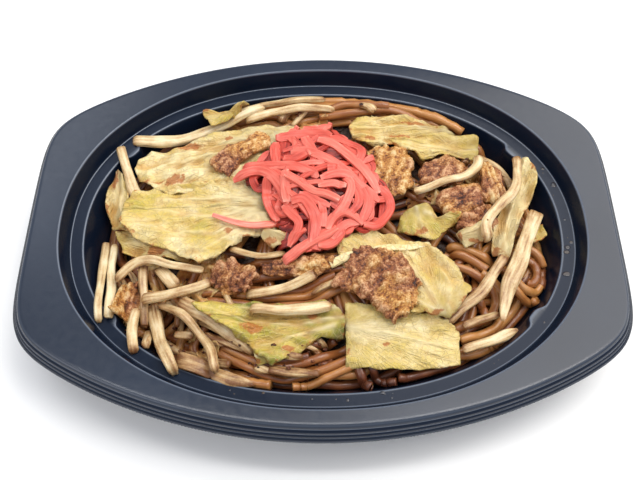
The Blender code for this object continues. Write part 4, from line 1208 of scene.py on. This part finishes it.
def fried_sprout():
    """Fried bean sprout: glassy cream stem with fine lengthwise fibres, a sauce tint in patches,
    and brown at the ends."""
    material, tree = new_material("fried_bean_sprout")
    straight = add_node(tree, "Attribute", attribute_name="straight", output="Vector")
    tint = add_node(tree, "Attribute", attribute_name="tint", output="Fac")
    spot = add_node(tree, "TexCoord", output="Object")
    along = add_node(tree, "Mapping", Vector=straight, Scale=(0.12, 1.0, 1.0))
    fibre = add_node(tree, "TexNoise", Vector=along, Scale=per_mm(1.2), Detail=4.0)
    patch = add_node(tree, "TexNoise", Vector=spot, Scale=per_mm(9), Detail=3.0)
    tone = add_node(tree, "Math", fibre, 0.78, tint, operation="MULTIPLY_ADD")
    mixed = add_node(tree, "Math", patch, 0.5, tone, operation="MULTIPLY_ADD")
    mark = add_node(tree, "Attribute", attribute_name="mark", output="Fac")
    grain = add_node(tree, "TexNoise", Vector=spot, Scale=per_mm(0.8), Detail=3.0)
    speckled = add_node(tree, "Math", grain, 0.16, mixed, operation="MULTIPLY_ADD")
    ended = add_node(tree, "Math", mark, 0.16, speckled, operation="MULTIPLY_ADD")
    colour = add_node(tree, "ValToRGB", Fac=ended, stops=((0.5, "#E9D9B4"), (0.68, "#D6BC8E"),
                      (0.84, "#B28D60"), (0.98, "#7C5231")))
    relief = add_node(tree, "Math", grain, 0.3, fibre, operation="MULTIPLY_ADD")
    bump = add_node(tree, "Bump", Height=relief, Strength=0.6, Distance=0.0009)
    shader = add_node(tree, "BsdfPrincipled", Base_Color=colour, Roughness=0.3, IOR=1.4,
                      Subsurface_Weight=0.18, Subsurface_Radius=(0.003, 0.002, 0.001),
                      Subsurface_Scale=1.0, Coat_Weight=0.15, Coat_Roughness=0.15, Normal=bump)
    add_node(tree, "OutputMaterial", shader)
    return material


# Each sprout: its radius, how flat it is pressed, the share of it that tapers to a root thread,
# and the line it lies along.
SPROUTS = {
    "left_1": (1.7, 0.85, 0, [(-95, -3), (-94, -23), (-91, -44)]),
    "left_2": (1.8, 0.85, 0, [(-91, -5), (-90, -22), (-87, -43)]),
    "left_arc": (1.8, 0.90, 0, [(-86, -25), (-80, -19), (-72, -18), (-63, -20), (-50, -22)]),
    "left_3": (1.8, 0.85, 0, [(-76, -18), (-75, -32), (-74, -44)]),
    "left_4": (2.0, 0.85, 0, [(-77, -38), (-77, -48), (-75, -57)]),
    "left_5": (1.8, 0.80, 0, [(-73, -45), (-71, -55)]),
    "left_6": (2.6, 0.80, 0, [(-71, -34), (-66, -52), (-58, -66)]),
    "left_7": (1.8, 0.85, 0, [(-68, -36), (-58, -41), (-47, -53), (-42, -66)]),
    "left_8": (2.8, 0.65, 0, [(-59, -35), (-50, -41), (-38, -50), (-28, -57)]),
    "left_9": (2.0, 0.85, 0, [(-74, -35), (-59, -33), (-47, -27)]),
    "left_10": (2.6, 0.55, 0, [(-70, -20), (-61, -28)]),
    "left_11": (1.7, 0.85, 0, [(-61, -48), (-53, -49)]),
    "front_1": (3.4, 0.46, 0, [(-58.5, -59.5), (-51, -63), (-43.5, -66)]),
    "front_2": (2.9, 0.46, 0.7, [(-45, -64.5), (-36, -68.5), (-27, -71)]),
    "middle_1": (2.0, 0.85, 0, [(-31, -33), (-17, -31), (-3, -26)]),
    "middle_2": (1.8, 0.58, 0, [(-39, -13), (-27, -17), (-16, -15)]),
    "on_leaf": (2.3, 0.80, 0, [(-29, -41), (-14, -42), (3, -40)]),
    "back_1": (2.5, 0.80, 0, [(-87, 46), (-72, 47), (-55, 52), (-38, 58), (-28, 63)]),
    "back_2": (1.8, 0.85, 0, [(-31, 65), (-16, 67), (1, 67)]),
    "back_3": (1.8, 0.85, 0, [(-35, 57), (-23, 60), (-10, 62), (5, 62)]),
    "back_4": (2.3, 0.80, 0, [(-93, 42), (-91, 37), (-86, 24), (-82, 17)]),
    "right_1": (2.1, 0.80, 0, [(88, 36), (87, 28), (84, 17), (76, 6), (69, -3), (69, -10)]),
    "right_2": (3.4, 0.55, 0.3, [(94, 8), (84, -14), (76, -31), (73, -45)]),
    "right_3": (2.4, 0.80, 0, [(76, -17), (66, -31), (57, -39), (50, -45)]),
    "right_4": (2.1, 0.85, 0.25, [(56, -56), (68, -52), (79, -48)]),
    "right_5": (1.7, 0.85, 0, [(57, -47), (72, -40)]),
    "right_6": (1.7, 0.85, 0, [(73, 43), (79, 37), (84, 28), (86, 22)]),
    "over_pork": (1.9, 0.85, 0, [(40, 15), (51, 19), (63, 23), (69, 29), (70, 35)]),
}
PALE_SPROUTS = ("left_1", "left_2", "back_1")
sprout_material = fried_sprout()
rng = random.Random(5)
for name, (radius, flatness, tail, route) in SPROUTS.items():
    run = sum(math.dist(a, b) for a, b in zip(route, route[1:]))
    rings = max(14, int(run / SPROUT_STEP)) + 4
    flat = evenly(route, 200)
    tip = np.array([0.0, 0.12, 0.5]) / run
    t = np.concatenate([tip, np.linspace(1.2 / run, 1.0 - 1.2 / run, rings - 6), 1.0 - tip[::-1]])
    flat = np.column_stack([np.interp(t, np.linspace(0, 1, 200), flat[:, axis])
                            for axis in (0, 1)])
    height = smoothed(tops_along("sprout_" + name, flat) - radius, 8)
    side = 0.30 * np.sin(t * run / rng.uniform(5, 8) + rng.uniform(0, 6))
    side += 0.14 * np.sin(t * run / rng.uniform(2.2, 3.2) + rng.uniform(0, 6))
    path = np.column_stack([beside(flat, side), height])
    slim = 1.0 + 0.07 * np.sin(t * run / rng.uniform(3.0, 5.0) + rng.uniform(0, 6))
    slim *= 1.04 - 0.22 * (t if rng.random() < 0.6 else 1.0 - t) ** 1.5
    if tail:
        slim *= 1.0 - 0.75 * np.clip((t - 1.0 + tail) / tail, 0.0, 1.0) ** 1.4
    ends = np.minimum(t, 1.0 - t) * run
    blunt = np.clip(ends / (rng.uniform(0.15, 0.6) * radius), 0.0, 1.0)
    slim *= np.sqrt(np.clip(1.0 - (1.0 - blunt) ** 2, 0.45, 1.0))
    browned = np.exp(-(ends / 1.6) ** 2)
    stem = Strands(rings, SPROUT_SIDES)
    first = rng.uniform(0.3, 2.6)
    dents = [(first, 0.30, 0.16), (first + rng.uniform(1.2, 2.0), 0.25, 0.10)]
    # The flattest sprouts took up the most sauce, and three stayed pale.
    soaked = 0.14 * (flatness < 0.5) + 0.05 * name.startswith("right")
    soaked += 0.04 * name.startswith("left") - 0.16 * (name in PALE_SPROUTS)
    stem.bend(path, 1.06 * radius * slim, rng.uniform(-0.06, 0.08) + soaked,
              section=4.0, flat=flatness - 0.20, dents=dents, mark=browned,
              twist=(rng.uniform(-0.4, 0.4), rng.uniform(-0.9, 0.9)))
    finish_piece("stem_" + name, stem.bm, sprout_material, "bean_sprout", "sprout_" + name)


# ======================================================================== red ginger
# Beni shoga: ginger root cut in flat threads 4 mm wide and pickled red, heaped in the middle.
# The threads are limp, wet and coral pink, and loop out at the heap's edge.
GINGER_RINGS = 34
GINGER_SIDES = 16
GINGER_PEAK = 45.15
# The core's height and width as a share of the heap's, and its mark, painted shade which makes it
# deep red.
CORE_HEIGHT, CORE_WIDTH, CORE_MARK = 0.35, 0.86, -1.4
# The lowest place a thread can lie, and how far from the middle of the tray one can be.
LOWEST_BED, GINGER_HALF = 26.0, 45
# Free threads: how many in all, how many of them lie under the others, how far above the heap's
# own top those may lie, and how far the threads on top may.
FREE_THREADS, LOW_THREADS, LOW_ALLOW, PEAK_ALLOW = 72, 46, -1.4, 1.0
# The cut edges of a thread are sharper than this.
SHARP_EDGE = math.radians(42)
GINGER_OUTLINE = [(-3, 52), (4, 52), (12, 44), (19, 34), (26, 20), (30, 8), (28, -2), (16, -7),
                  (7, -13), (-3, -18), (-15, -20), (-17, -8), (-22, 2), (-25, 14), (-38, 18),
                  (-39, 22), (-26, 32), (-20, 43), (-10, 50)]
# The threads on top of the heap, from the lowest up: half width and the line each lies along.
GINGER_TOP = [
    (1.2, [(-24, 35), (-27, 31), (-29, 28)]), (1.3, [(17, 25), (22, 29), (28, 31)]),
    (1.9, [(-9, 48), (-3, 47), (2, 50)]), (1.3, [(-4, 45), (-3, 50), (-3, 53)]),
    (1.4, [(4, 53), (2, 49), (0, 46)]), (1.5, [(-11, 50), (-13, 47), (-16, 43)]),
    (1.9, [(-24, 18), (-24, 10), (-22, 4), (-19, -2)]), (1.8, [(-1, 4), (0, -1), (0, -7)]),
    (1.9, [(-14, -15), (-11, -10), (-7, -8)]), (2.1, [(-16, 20), (-16, 13), (-15, 5)]),
    (1.8, [(2, 21), (8, 21), (15, 19)]), (1.8, [(-17, 28), (-12, 27), (-7, 29)]),
    (2.3, [(-8, 41), (-6, 34), (-4, 28)]),
    (1.8, [(3, 41), (10, 39), (15, 36), (17, 31), (15, 25)]),
    (2.1, [(-21, 42), (-14, 43), (-8, 44), (-1, 43), (4, 42)]),
    (2.2, [(-21, 39), (-21, 33), (-20, 25)]), (1.7, [(-10, 8), (-6, 7), (-2, 4), (3, 2)]),
    (1.8, [(4, -12), (6, -9), (10, -5), (15, -4)]),
    (1.8, [(24, 14), (28, 10), (29, 5), (26, -1), (22, -5), (17, -5)]),
    (1.9, [(16, 14), (19, 8), (19, 3), (16, -4)]), (1.7, [(12, 14), (15, 9), (15, 4), (12, 0)]),
    (1.8, [(9, 17), (12, 13), (11, 7), (8, 1), (4, -3)]), (1.7, [(-2, 12), (4, 13), (10, 12)]),
    (1.9, [(-16, 18), (-10, 14), (-4, 9), (1, 8), (7, 5)]),
    (1.9, [(-1, 16), (5, 18), (10, 18), (14, 15)]),
    (1.8, [(-17, 4), (-13, -1), (-10, -6), (-12, -12)]),
    (1.9, [(-2, -15), (3, -14), (7, -10), (8, -6)]),
    (1.8, [(2, -8), (4, -3), (9, 0), (14, -2), (17, -5)]),
    (2.1, [(-17, -21), (-10, -17), (-4, -13), (1, -10), (6, -7)]),
    (2.1, [(-13, 5), (-8, 5), (-4, -1), (-3, -7), (-4, -14)]),
    (2.0, [(-39, 20), (-29, 22), (-23, 19), (-18, 13), (-15, 4)]),
    (1.9, [(-14, 31), (-8, 31), (-2, 28), (4, 25), (11, 19), (16, 13), (24, 7)]),
    (1.9, [(-2, 39), (5, 36), (12, 29), (17, 23), (21, 17), (24, 11)]),
    (1.9, [(-37, 26), (-29, 26), (-20, 24), (-12, 22), (-5, 19), (-2, 16)]),
]


def red_ginger():
    """Pickled ginger: wet coral threads, lighter along their cut edges and painted deeper red in
    the heap as shade, with a little light passing through."""
    material, tree = new_material("pickled_red_ginger")
    straight = add_node(tree, "Attribute", attribute_name="straight", output="Vector")
    tint = add_node(tree, "Attribute", attribute_name="tint", output="Fac")
    along = add_node(tree, "Mapping", Vector=straight, Scale=(0.1, 1.0, 1.0))
    fibre = add_node(tree, "TexNoise", Vector=along, Scale=per_mm(0.9), Detail=4.0)
    tone = add_node(tree, "Math", fibre, 0.7, tint, operation="MULTIPLY_ADD")
    mark = add_node(tree, "Attribute", attribute_name="mark", output="Fac")
    ended = add_node(tree, "Math", mark, 0.12, tone, operation="MULTIPLY_ADD")
    colour = add_node(tree, "ValToRGB", Fac=ended, stops=((0.16, "#5E1712"), (0.34, "#AE392E"),
                      (0.54, "#D65848"), (0.76, "#E67765"), (1.0, "#F4AB98")))
    grain = add_node(tree, "TexNoise", Vector=straight, Scale=per_mm(0.6), Detail=3.0)
    relief = add_node(tree, "Math", grain, 0.5, fibre, operation="MULTIPLY_ADD")
    bump = add_node(tree, "Bump", Height=relief, Strength=0.5, Distance=0.0006)
    shader = add_node(tree, "BsdfPrincipled", Base_Color=colour, Roughness=0.36, IOR=1.38,
                      Subsurface_Weight=0.12, Subsurface_Radius=(0.003, 0.0008, 0.0006),
                      Subsurface_Scale=1.0, Coat_Weight=0.12, Coat_Roughness=0.2, Normal=bump)
    add_node(tree, "OutputMaterial", shader)
    return material


ginger_tree = solid_tree("ginger")
bm = solid_copy("ginger")
rescale(bm, 1 / MM)
middle = sum((vert.co for vert in bm.verts), Vector()) / len(bm.verts)
mark_layer = bm.verts.layers.float.new("mark")
for vert in bm.verts:
    vert[mark_layer] = CORE_MARK
    under = seen_up(ginger_tree, vert.co.x * 0.999, vert.co.y * 0.999)
    low = under.z if under else vert.co.z
    vert.co.z = low + (vert.co.z - low) * CORE_HEIGHT
    vert.co.x = middle.x + (vert.co.x - middle.x) * CORE_WIDTH
    vert.co.y = middle.y + (vert.co.y - middle.y) * CORE_WIDTH
ginger_material = red_ginger()
ginger_core = BVHTree.FromBMesh(bm)
finish_piece("ginger_core", bm, ginger_material, "red_ginger")
under_map = Bed(ginger_core)
roof = Bed(ginger_tree)
under_map.top = np.maximum(under_map.top, LOWEST_BED)
for i, x in enumerate(under_map.xs):
    if abs(x) > GINGER_HALF:
        continue
    for j, y in enumerate(under_map.ys):
        hit = seen_up(ginger_tree, x + 1e-3, y + 1e-3)
        if hit is not None:
            under_map.top[i, j] = max(under_map.top[i, j], hit.z)
middle = np.mean(GINGER_OUTLINE, axis=0)
ginger_reach = outline_reach(GINGER_OUTLINE, middle)
rng = random.Random(23)
threads = Strands(GINGER_RINGS, GINGER_SIDES)


def heap_share(x, y):
    """0 at the middle of the ginger and 1 at its outline."""
    away = math.hypot(x - middle[0], y - middle[1])
    turn = math.degrees(math.atan2(y - middle[1], x - middle[0])) % 360.0
    return away / ginger_reach[int(turn * 2) % TURNS]


def lay_thread(points, radius, tint, allow):
    """Lays one flat thread along a line, no higher than allow above the heap's surface."""
    flat = evenly(points, GINGER_RINGS)
    flatness = rng.uniform(0.34, 0.48)
    half = radius * flatness
    ceiling = roof.at(flat[:, 0], flat[:, 1])
    ceiling = np.where(ceiling < 0, ABOVE, ceiling - half + allow)
    ceiling = np.minimum(ceiling, GINGER_PEAK - 1.25 * half)
    path = lay(under_map, flat, radius * 0.85, 5, ceiling, half * 0.8)
    under_map.press(path, radius * 0.85, half * 0.8)
    run = np.linalg.norm(np.diff(flat, axis=0), axis=1).sum()
    ends = np.minimum(np.arange(GINGER_RINGS), np.arange(GINGER_RINGS)[::-1])
    wide = 1.0 + 0.06 * np.sin(np.linspace(0, run / 4.0, GINGER_RINGS) + rng.uniform(0, 6))
    spot = ends * run / (GINGER_RINGS - 1.0)
    wide *= 1.0 - rng.uniform(0.1, 0.65) * np.exp(-(spot / rng.uniform(1.2, 3.0)) ** 2)
    lean = rng.uniform(-0.3, 0.3)
    threads.bend(path, radius * wide, tint, section=9.0, flat=flatness,
                 twist=(lean, lean + rng.uniform(-0.4, 0.4)), mark=np.exp(-(spot / 1.2) ** 2))


for thread in range(FREE_THREADS):
    angle, share = rng.uniform(0, math.tau), math.sqrt(rng.random()) * 0.92
    reach = ginger_reach[int(math.degrees(angle) * 2) % TURNS] * share
    x, y = middle[0] + reach * math.cos(angle), middle[1] + reach * math.sin(angle)
    heading, turn = rng.uniform(0, math.tau), rng.uniform(-0.05, 0.05)
    points = [(x, y)]
    for step in range(rng.randint(5, 9)):
        turn = 0.9 * turn + rng.gauss(0.0, 0.018)
        heading += turn * DRIFT_STEP
        nx, ny = x + DRIFT_STEP * math.cos(heading), y + DRIFT_STEP * math.sin(heading)
        if heap_share(nx, ny) > 0.95:
            back = math.atan2(middle[1] - y, middle[0] - x)
            heading += max(-1.1, min(1.1, turn_between(heading, back)))
            nx, ny = x + DRIFT_STEP * math.cos(heading), y + DRIFT_STEP * math.sin(heading)
        x, y = nx, ny
        points.append((x, y))
    # Threads under the others get a darker tint and those on top a lighter one: painted shade
    # deeper in the heap.
    if thread < LOW_THREADS:
        lay_thread(points, 1.9, rng.uniform(-0.18, 0.06), LOW_ALLOW)
    else:
        lay_thread(points, rng.uniform(1.1, 1.6), rng.uniform(0.05, 0.35), 0.0)
for half_width, points in GINGER_TOP:
    lay_thread(points, 1.1 * half_width, rng.uniform(0.12, 0.42), PEAK_ALLOW)
piece = finish_piece("ginger_threads", threads.bm, ginger_material, "red_ginger", "ginger")
piece.data.set_sharp_from_angle(angle=SHARP_EDGE)

tail = Strands(GINGER_RINGS, GINGER_SIDES)
flat = evenly([(-47, 2), (-38, -2), (-29, -4), (-22, -2.5), (-19, 1)], GINGER_RINGS)
height = smoothed(tops_along("ginger_strand_1", flat) - 0.9, 8)
tail.bend(np.column_stack([flat, height]), np.linspace(0.9, 1.9, GINGER_RINGS), 0.45,
          section=9.0, flat=0.42, twist=(0.3, -0.3))
piece = finish_piece("ginger_tail", tail.bm, ginger_material, "red_ginger", "ginger_strand_1")
piece.data.set_sharp_from_angle(angle=SHARP_EDGE)


# ======================================================================== scraps
# What the pan leaves between the larger things: short broken sprouts and root threads, shreds
# of cabbage and onion soaked brown with sauce, crumbs of crust, and drops of oil and sauce
# that have run on to the tray's ledge.
# Where scraps gather: the middle of each zone, its half width and its half depth.
SCRAP_ZONES = [((-62, -36), 27, 24), ((62, 20), 24, 20), ((-18, -58), 22, 8),
               ((0, 57), 30, 7), ((24, -22), 12, 10)]
# How many bits, shreds and crumbs there are, and how often one falls in each zone.
BITS, BIT_ZONES, BIT_RINGS = 70, (6, 4, 1, 2, 1), 16
SHREDS, SHRED_ZONES, SHRED_THICK = 60, (7, 4, 0, 1, 2), 0.5
CRUMBS, CRUMB_ZONES = 170, (4, 4, 3, 2, 4)
# Drops lie on the ledge, in front and at the right, between these angles in radians and these
# insets from the lip, at the ledge's height, and are flattened to this share.
DROPS, DROP_FRONT, DROP_RIGHT = 26, (-2.3, -1.0), (-0.75, 0.35)
DROP_INSETS, DROP_HEIGHT, DROP_FLAT = (4.3, 8.0), 28.3, 0.14


def in_zone(rng, weights):
    """A random place in one of the zones."""
    (x, y), wide, deep = rng.choices(SCRAP_ZONES, weights)[0]
    angle, share = rng.uniform(0, math.tau), math.sqrt(rng.random())
    x, y = x + wide * share * math.cos(angle), y + deep * share * math.sin(angle)
    near = oval_share(x, y, 17.0)
    return (x, y) if near < 1.0 else (x / near, y / near)


def ground_at(x, y):
    """The height of what lies at one place."""
    return float(bed.at(np.array([x]), np.array([y]))[0])


def soaked_shred():
    """Cabbage and onion soaked in sauce: thin, glassy and golden brown, in cloudy tones."""
    material, tree = new_material("sauce_soaked_shreds")
    spot = add_node(tree, "TexCoord", output="Object")
    tint = add_node(tree, "Attribute", attribute_name="tint", output="Fac")
    cloud = add_node(tree, "TexNoise", Vector=spot, Scale=per_mm(3.5), Detail=5.0, Roughness=0.6)
    tone = add_node(tree, "Math", cloud, 0.9, tint, operation="MULTIPLY_ADD")
    colour = add_node(tree, "ValToRGB", Fac=tone, stops=((0.3, "#D9B67C"), (0.55, "#BC8447"),
                      (0.75, "#8F5528"), (1.0, "#5A2F18")))
    bump = add_node(tree, "Bump", Height=cloud, Strength=0.7, Distance=0.001)
    shader = add_node(tree, "BsdfPrincipled", Base_Color=colour, Roughness=0.3, IOR=1.4,
                      Subsurface_Weight=0.2, Subsurface_Radius=(0.003, 0.0015, 0.0007),
                      Subsurface_Scale=1.0, Coat_Weight=0.3, Coat_Roughness=0.12, Normal=bump)
    add_node(tree, "OutputMaterial", shader)
    return material


def sauce_drop():
    """A drop of oil and thin sauce, clear brown and very glossy."""
    material, tree = new_material("oil_and_sauce")
    spot = add_node(tree, "TexCoord", output="Object")
    cloud = add_node(tree, "TexNoise", Vector=spot, Scale=per_mm(5))
    colour = add_node(tree, "ValToRGB", Fac=cloud, stops=((0.4, "#1E2430"), (0.7, "#3A2C22")))
    shader = add_node(tree, "BsdfPrincipled", Base_Color=colour, Roughness=0.12, IOR=1.47)
    add_node(tree, "OutputMaterial", shader)
    return material


rng = random.Random(41)
bits = Strands(BIT_RINGS, 10)
for bit in range(BITS):
    x, y = in_zone(rng, BIT_ZONES)
    heading, length = rng.uniform(0, math.tau), rng.uniform(9, 24)
    flat = wander(rng, (x, y), heading, length, 0.06, 16.0)
    radius = rng.choice((0.5, 1.1, 1.4, 1.7, 2.1))
    if len(flat) < 3:
        continue
    flat = keep_inside(evenly(flat, BIT_RINGS), 13.0)
    path = lay(bed, flat, radius, 2, heap.at(flat[:, 0], flat[:, 1]) + 1.6)
    bed.press(path, radius)
    t = np.linspace(0.0, 1.0, BIT_RINGS)
    slim = 1.0 - 0.35 * t ** 2 + 0.06 * np.sin(t * 9.0 + x)
    slim[[0, -1]] *= 0.8
    ends = np.minimum(t, 1.0 - t) * length
    bits.bend(path, radius * slim, rng.uniform(-0.02, 0.22), section=3.0,
              flat=rng.uniform(0.55, 0.8), twist=(rng.uniform(-1, 1), rng.uniform(-1, 1)),
              mark=np.exp(-(ends / 1.5) ** 2), dents=[(rng.uniform(0.5, 2.5), 0.3, 0.15)])
finish_piece("sprout_bits", bits.bm, sprout_material, "bean_sprout")

bm = bmesh.new()
tint_layer = bm.verts.layers.float.new("tint")
for shred in range(SHREDS):
    x, y = in_zone(rng, SHRED_ZONES)
    long, wide = rng.uniform(3.5, 8.0), rng.uniform(1.8, 3.6)
    turn, tone = rng.uniform(0, math.tau), rng.uniform(-0.15, 0.30)
    grid = bmesh.ops.create_grid(bm, x_segments=14, y_segments=8, size=1.0)["verts"]
    shift = Vector((x, y, rng.uniform(0, 50)))
    for vert in grid:
        a, b = vert.co.x, vert.co.y
        reach = math.sqrt(1.0 - 0.5 * b * b), math.sqrt(1.0 - 0.5 * a * a)
        ragged = 1.0 + 0.35 * noise.noise(Vector((a * 2.0, b * 2.0, shift.z)))
        px, py = long * a * reach[0] * ragged, wide * b * reach[1] * ragged
        curl = 0.9 * noise.noise(Vector((a * 2.2, b * 1.6, shift.z + 9.0)))
        lift = 1.3 * noise.noise(Vector((a * 1.1, b * 1.1, shift.z + 30.0)))
        gx = x + px * math.cos(turn) - py * math.sin(turn)
        gy = y + px * math.sin(turn) + py * math.cos(turn)
        vert.co = (gx, gy, ground_at(gx, gy) + 0.5 + curl + lift)
        vert[tint_layer] = tone
    for sweep in range(4):
        bmesh.ops.smooth_vert(bm, verts=grid, factor=0.5, use_axis_z=True)
thicken(finish_piece("soaked_shreds", bm, soaked_shred(), "cabbage"), SHRED_THICK)

bm = bmesh.new()
for crumb in range(CRUMBS):
    x, y = in_zone(rng, CRUMB_ZONES)
    made = bmesh.ops.create_icosphere(bm, subdivisions=1, radius=1.0)["verts"]
    size = rng.uniform(0.35, 0.95)
    ground = ground_at(x, y)
    for vert in made:
        bulge = 1.0 + 0.45 * noise.noise(vert.co * 1.3 + Vector((x, y, 0.0)))
        vert.co = Vector((x, y, ground + 0.2 * size)) + Vector(
            (vert.co.x * 1.3, vert.co.y, vert.co.z * 0.7)) * size * bulge
finish_piece("crust_crumbs", bm, pork_material, "pork")

bm = bmesh.new()
for drop in range(DROPS):
    front = rng.random() < 0.5
    angle = rng.uniform(*(DROP_FRONT if front else DROP_RIGHT))
    reach = float(lip_radius(angle, rng.uniform(*DROP_INSETS)))
    size = 0.3 + 1.2 * rng.random() ** 3 * (0.6 if front else 1.0)
    made = bmesh.ops.create_icosphere(bm, subdivisions=2, radius=size)["verts"]
    stretch = rng.uniform(0.8, 1.5)
    for vert in made:
        vert.co = (reach * math.cos(angle) + vert.co.x * stretch,
                   reach * math.sin(angle) + vert.co.y,
                   DROP_HEIGHT + max(vert.co.z, -0.2) * DROP_FLAT)
finish_piece("ledge_drops", bm, sauce_drop(), "noodles")


# ======================================================================== studio
# A pale matt floor and an even pale surround, a wide soft light overhead and behind, weak ones
# at the back left and front left, and a narrow strip overhead for the glints on what is wet.
# The camera looks down at the tray from the front.
def pale_floor():
    """Matt painted board: almost white, with a breath of unevenness."""
    material, tree = new_material("pale_painted_board")
    spot = add_node(tree, "TexCoord", output="Object")
    cloud = add_node(tree, "TexNoise", Vector=spot, Scale=per_mm(400), Detail=2.0)
    colour = add_node(tree, "ValToRGB", Fac=cloud, stops=((0.3, "#F7F7F6"), (0.7, "#FAFAF9")))
    shader = add_node(tree, "BsdfPrincipled", Base_Color=colour, Roughness=0.9)
    add_node(tree, "OutputMaterial", shader)
    return material


FLOOR_SIZE = 3.0
bm = bmesh.new()
bmesh.ops.create_grid(bm, x_segments=2, y_segments=2, size=FLOOR_SIZE)
floor_mesh = bpy.data.meshes.new("floor")
bm.to_mesh(floor_mesh)
bm.free()
floor_mesh.materials.append(pale_floor())
put_in_scene("floor", floor_mesh)

world = bpy.data.worlds.new("studio")
world.use_nodes = True
surround = world.node_tree.nodes["Background"]
surround.inputs["Color"].default_value = linear("#EFF3FC")
surround.inputs["Strength"].default_value = 0.72
bpy.context.scene.world = world


def soft_light(name, place, aim, size, power, colour):
    """A soft box that points at aim."""
    data = bpy.data.lights.new(name, "AREA")
    data.shape = "RECTANGLE"
    data.size, data.size_y = size
    data.energy = power
    data.color = linear(colour)[:3]
    lamp = put_in_scene(name, data)
    lamp.location = place
    lamp.rotation_euler = (Vector(aim) - Vector(place)).to_track_quat("-Z", "Y").to_euler()


soft_light("overhead", (0.80, 0.50, 1.25), (0, 0, 0.02), (1.5, 1.5), 21.0, "#FFFAF2")
soft_light("back_left", (-0.52, 0.78, 1.05), (-0.05, 0, 0.02), (0.4, 0.4), 1.0, "#F4F8FF")
soft_light("front_left", (-0.9, -0.5, 1.0), (0, 0, 0.02), (0.7, 0.7), 2.5, "#FFF8F0")
soft_light("strip", (0.10, 0.10, 1.30), (0.10, 0.05, 0.0), (1.4, 0.14), 6.0, "#FFFFFF")

CAMERA_AIM, CAMERA_LENS = (-0.0012, -0.010, 0.036), 45.0
CAMERA_DISTANCE, CAMERA_ELEVATION = 0.3361, math.radians(60.54)
camera = put_in_scene("camera", bpy.data.cameras.new("camera"))
camera.data.lens = CAMERA_LENS
camera.location = (CAMERA_AIM[0], CAMERA_AIM[1] - CAMERA_DISTANCE * math.cos(CAMERA_ELEVATION),
                   CAMERA_AIM[2] + CAMERA_DISTANCE * math.sin(CAMERA_ELEVATION))
camera.rotation_euler = (math.pi / 2 - CAMERA_ELEVATION, 0.0, 0.0)
bpy.context.scene.camera = camera
bpy.context.scene.view_settings.view_transform = "Standard"
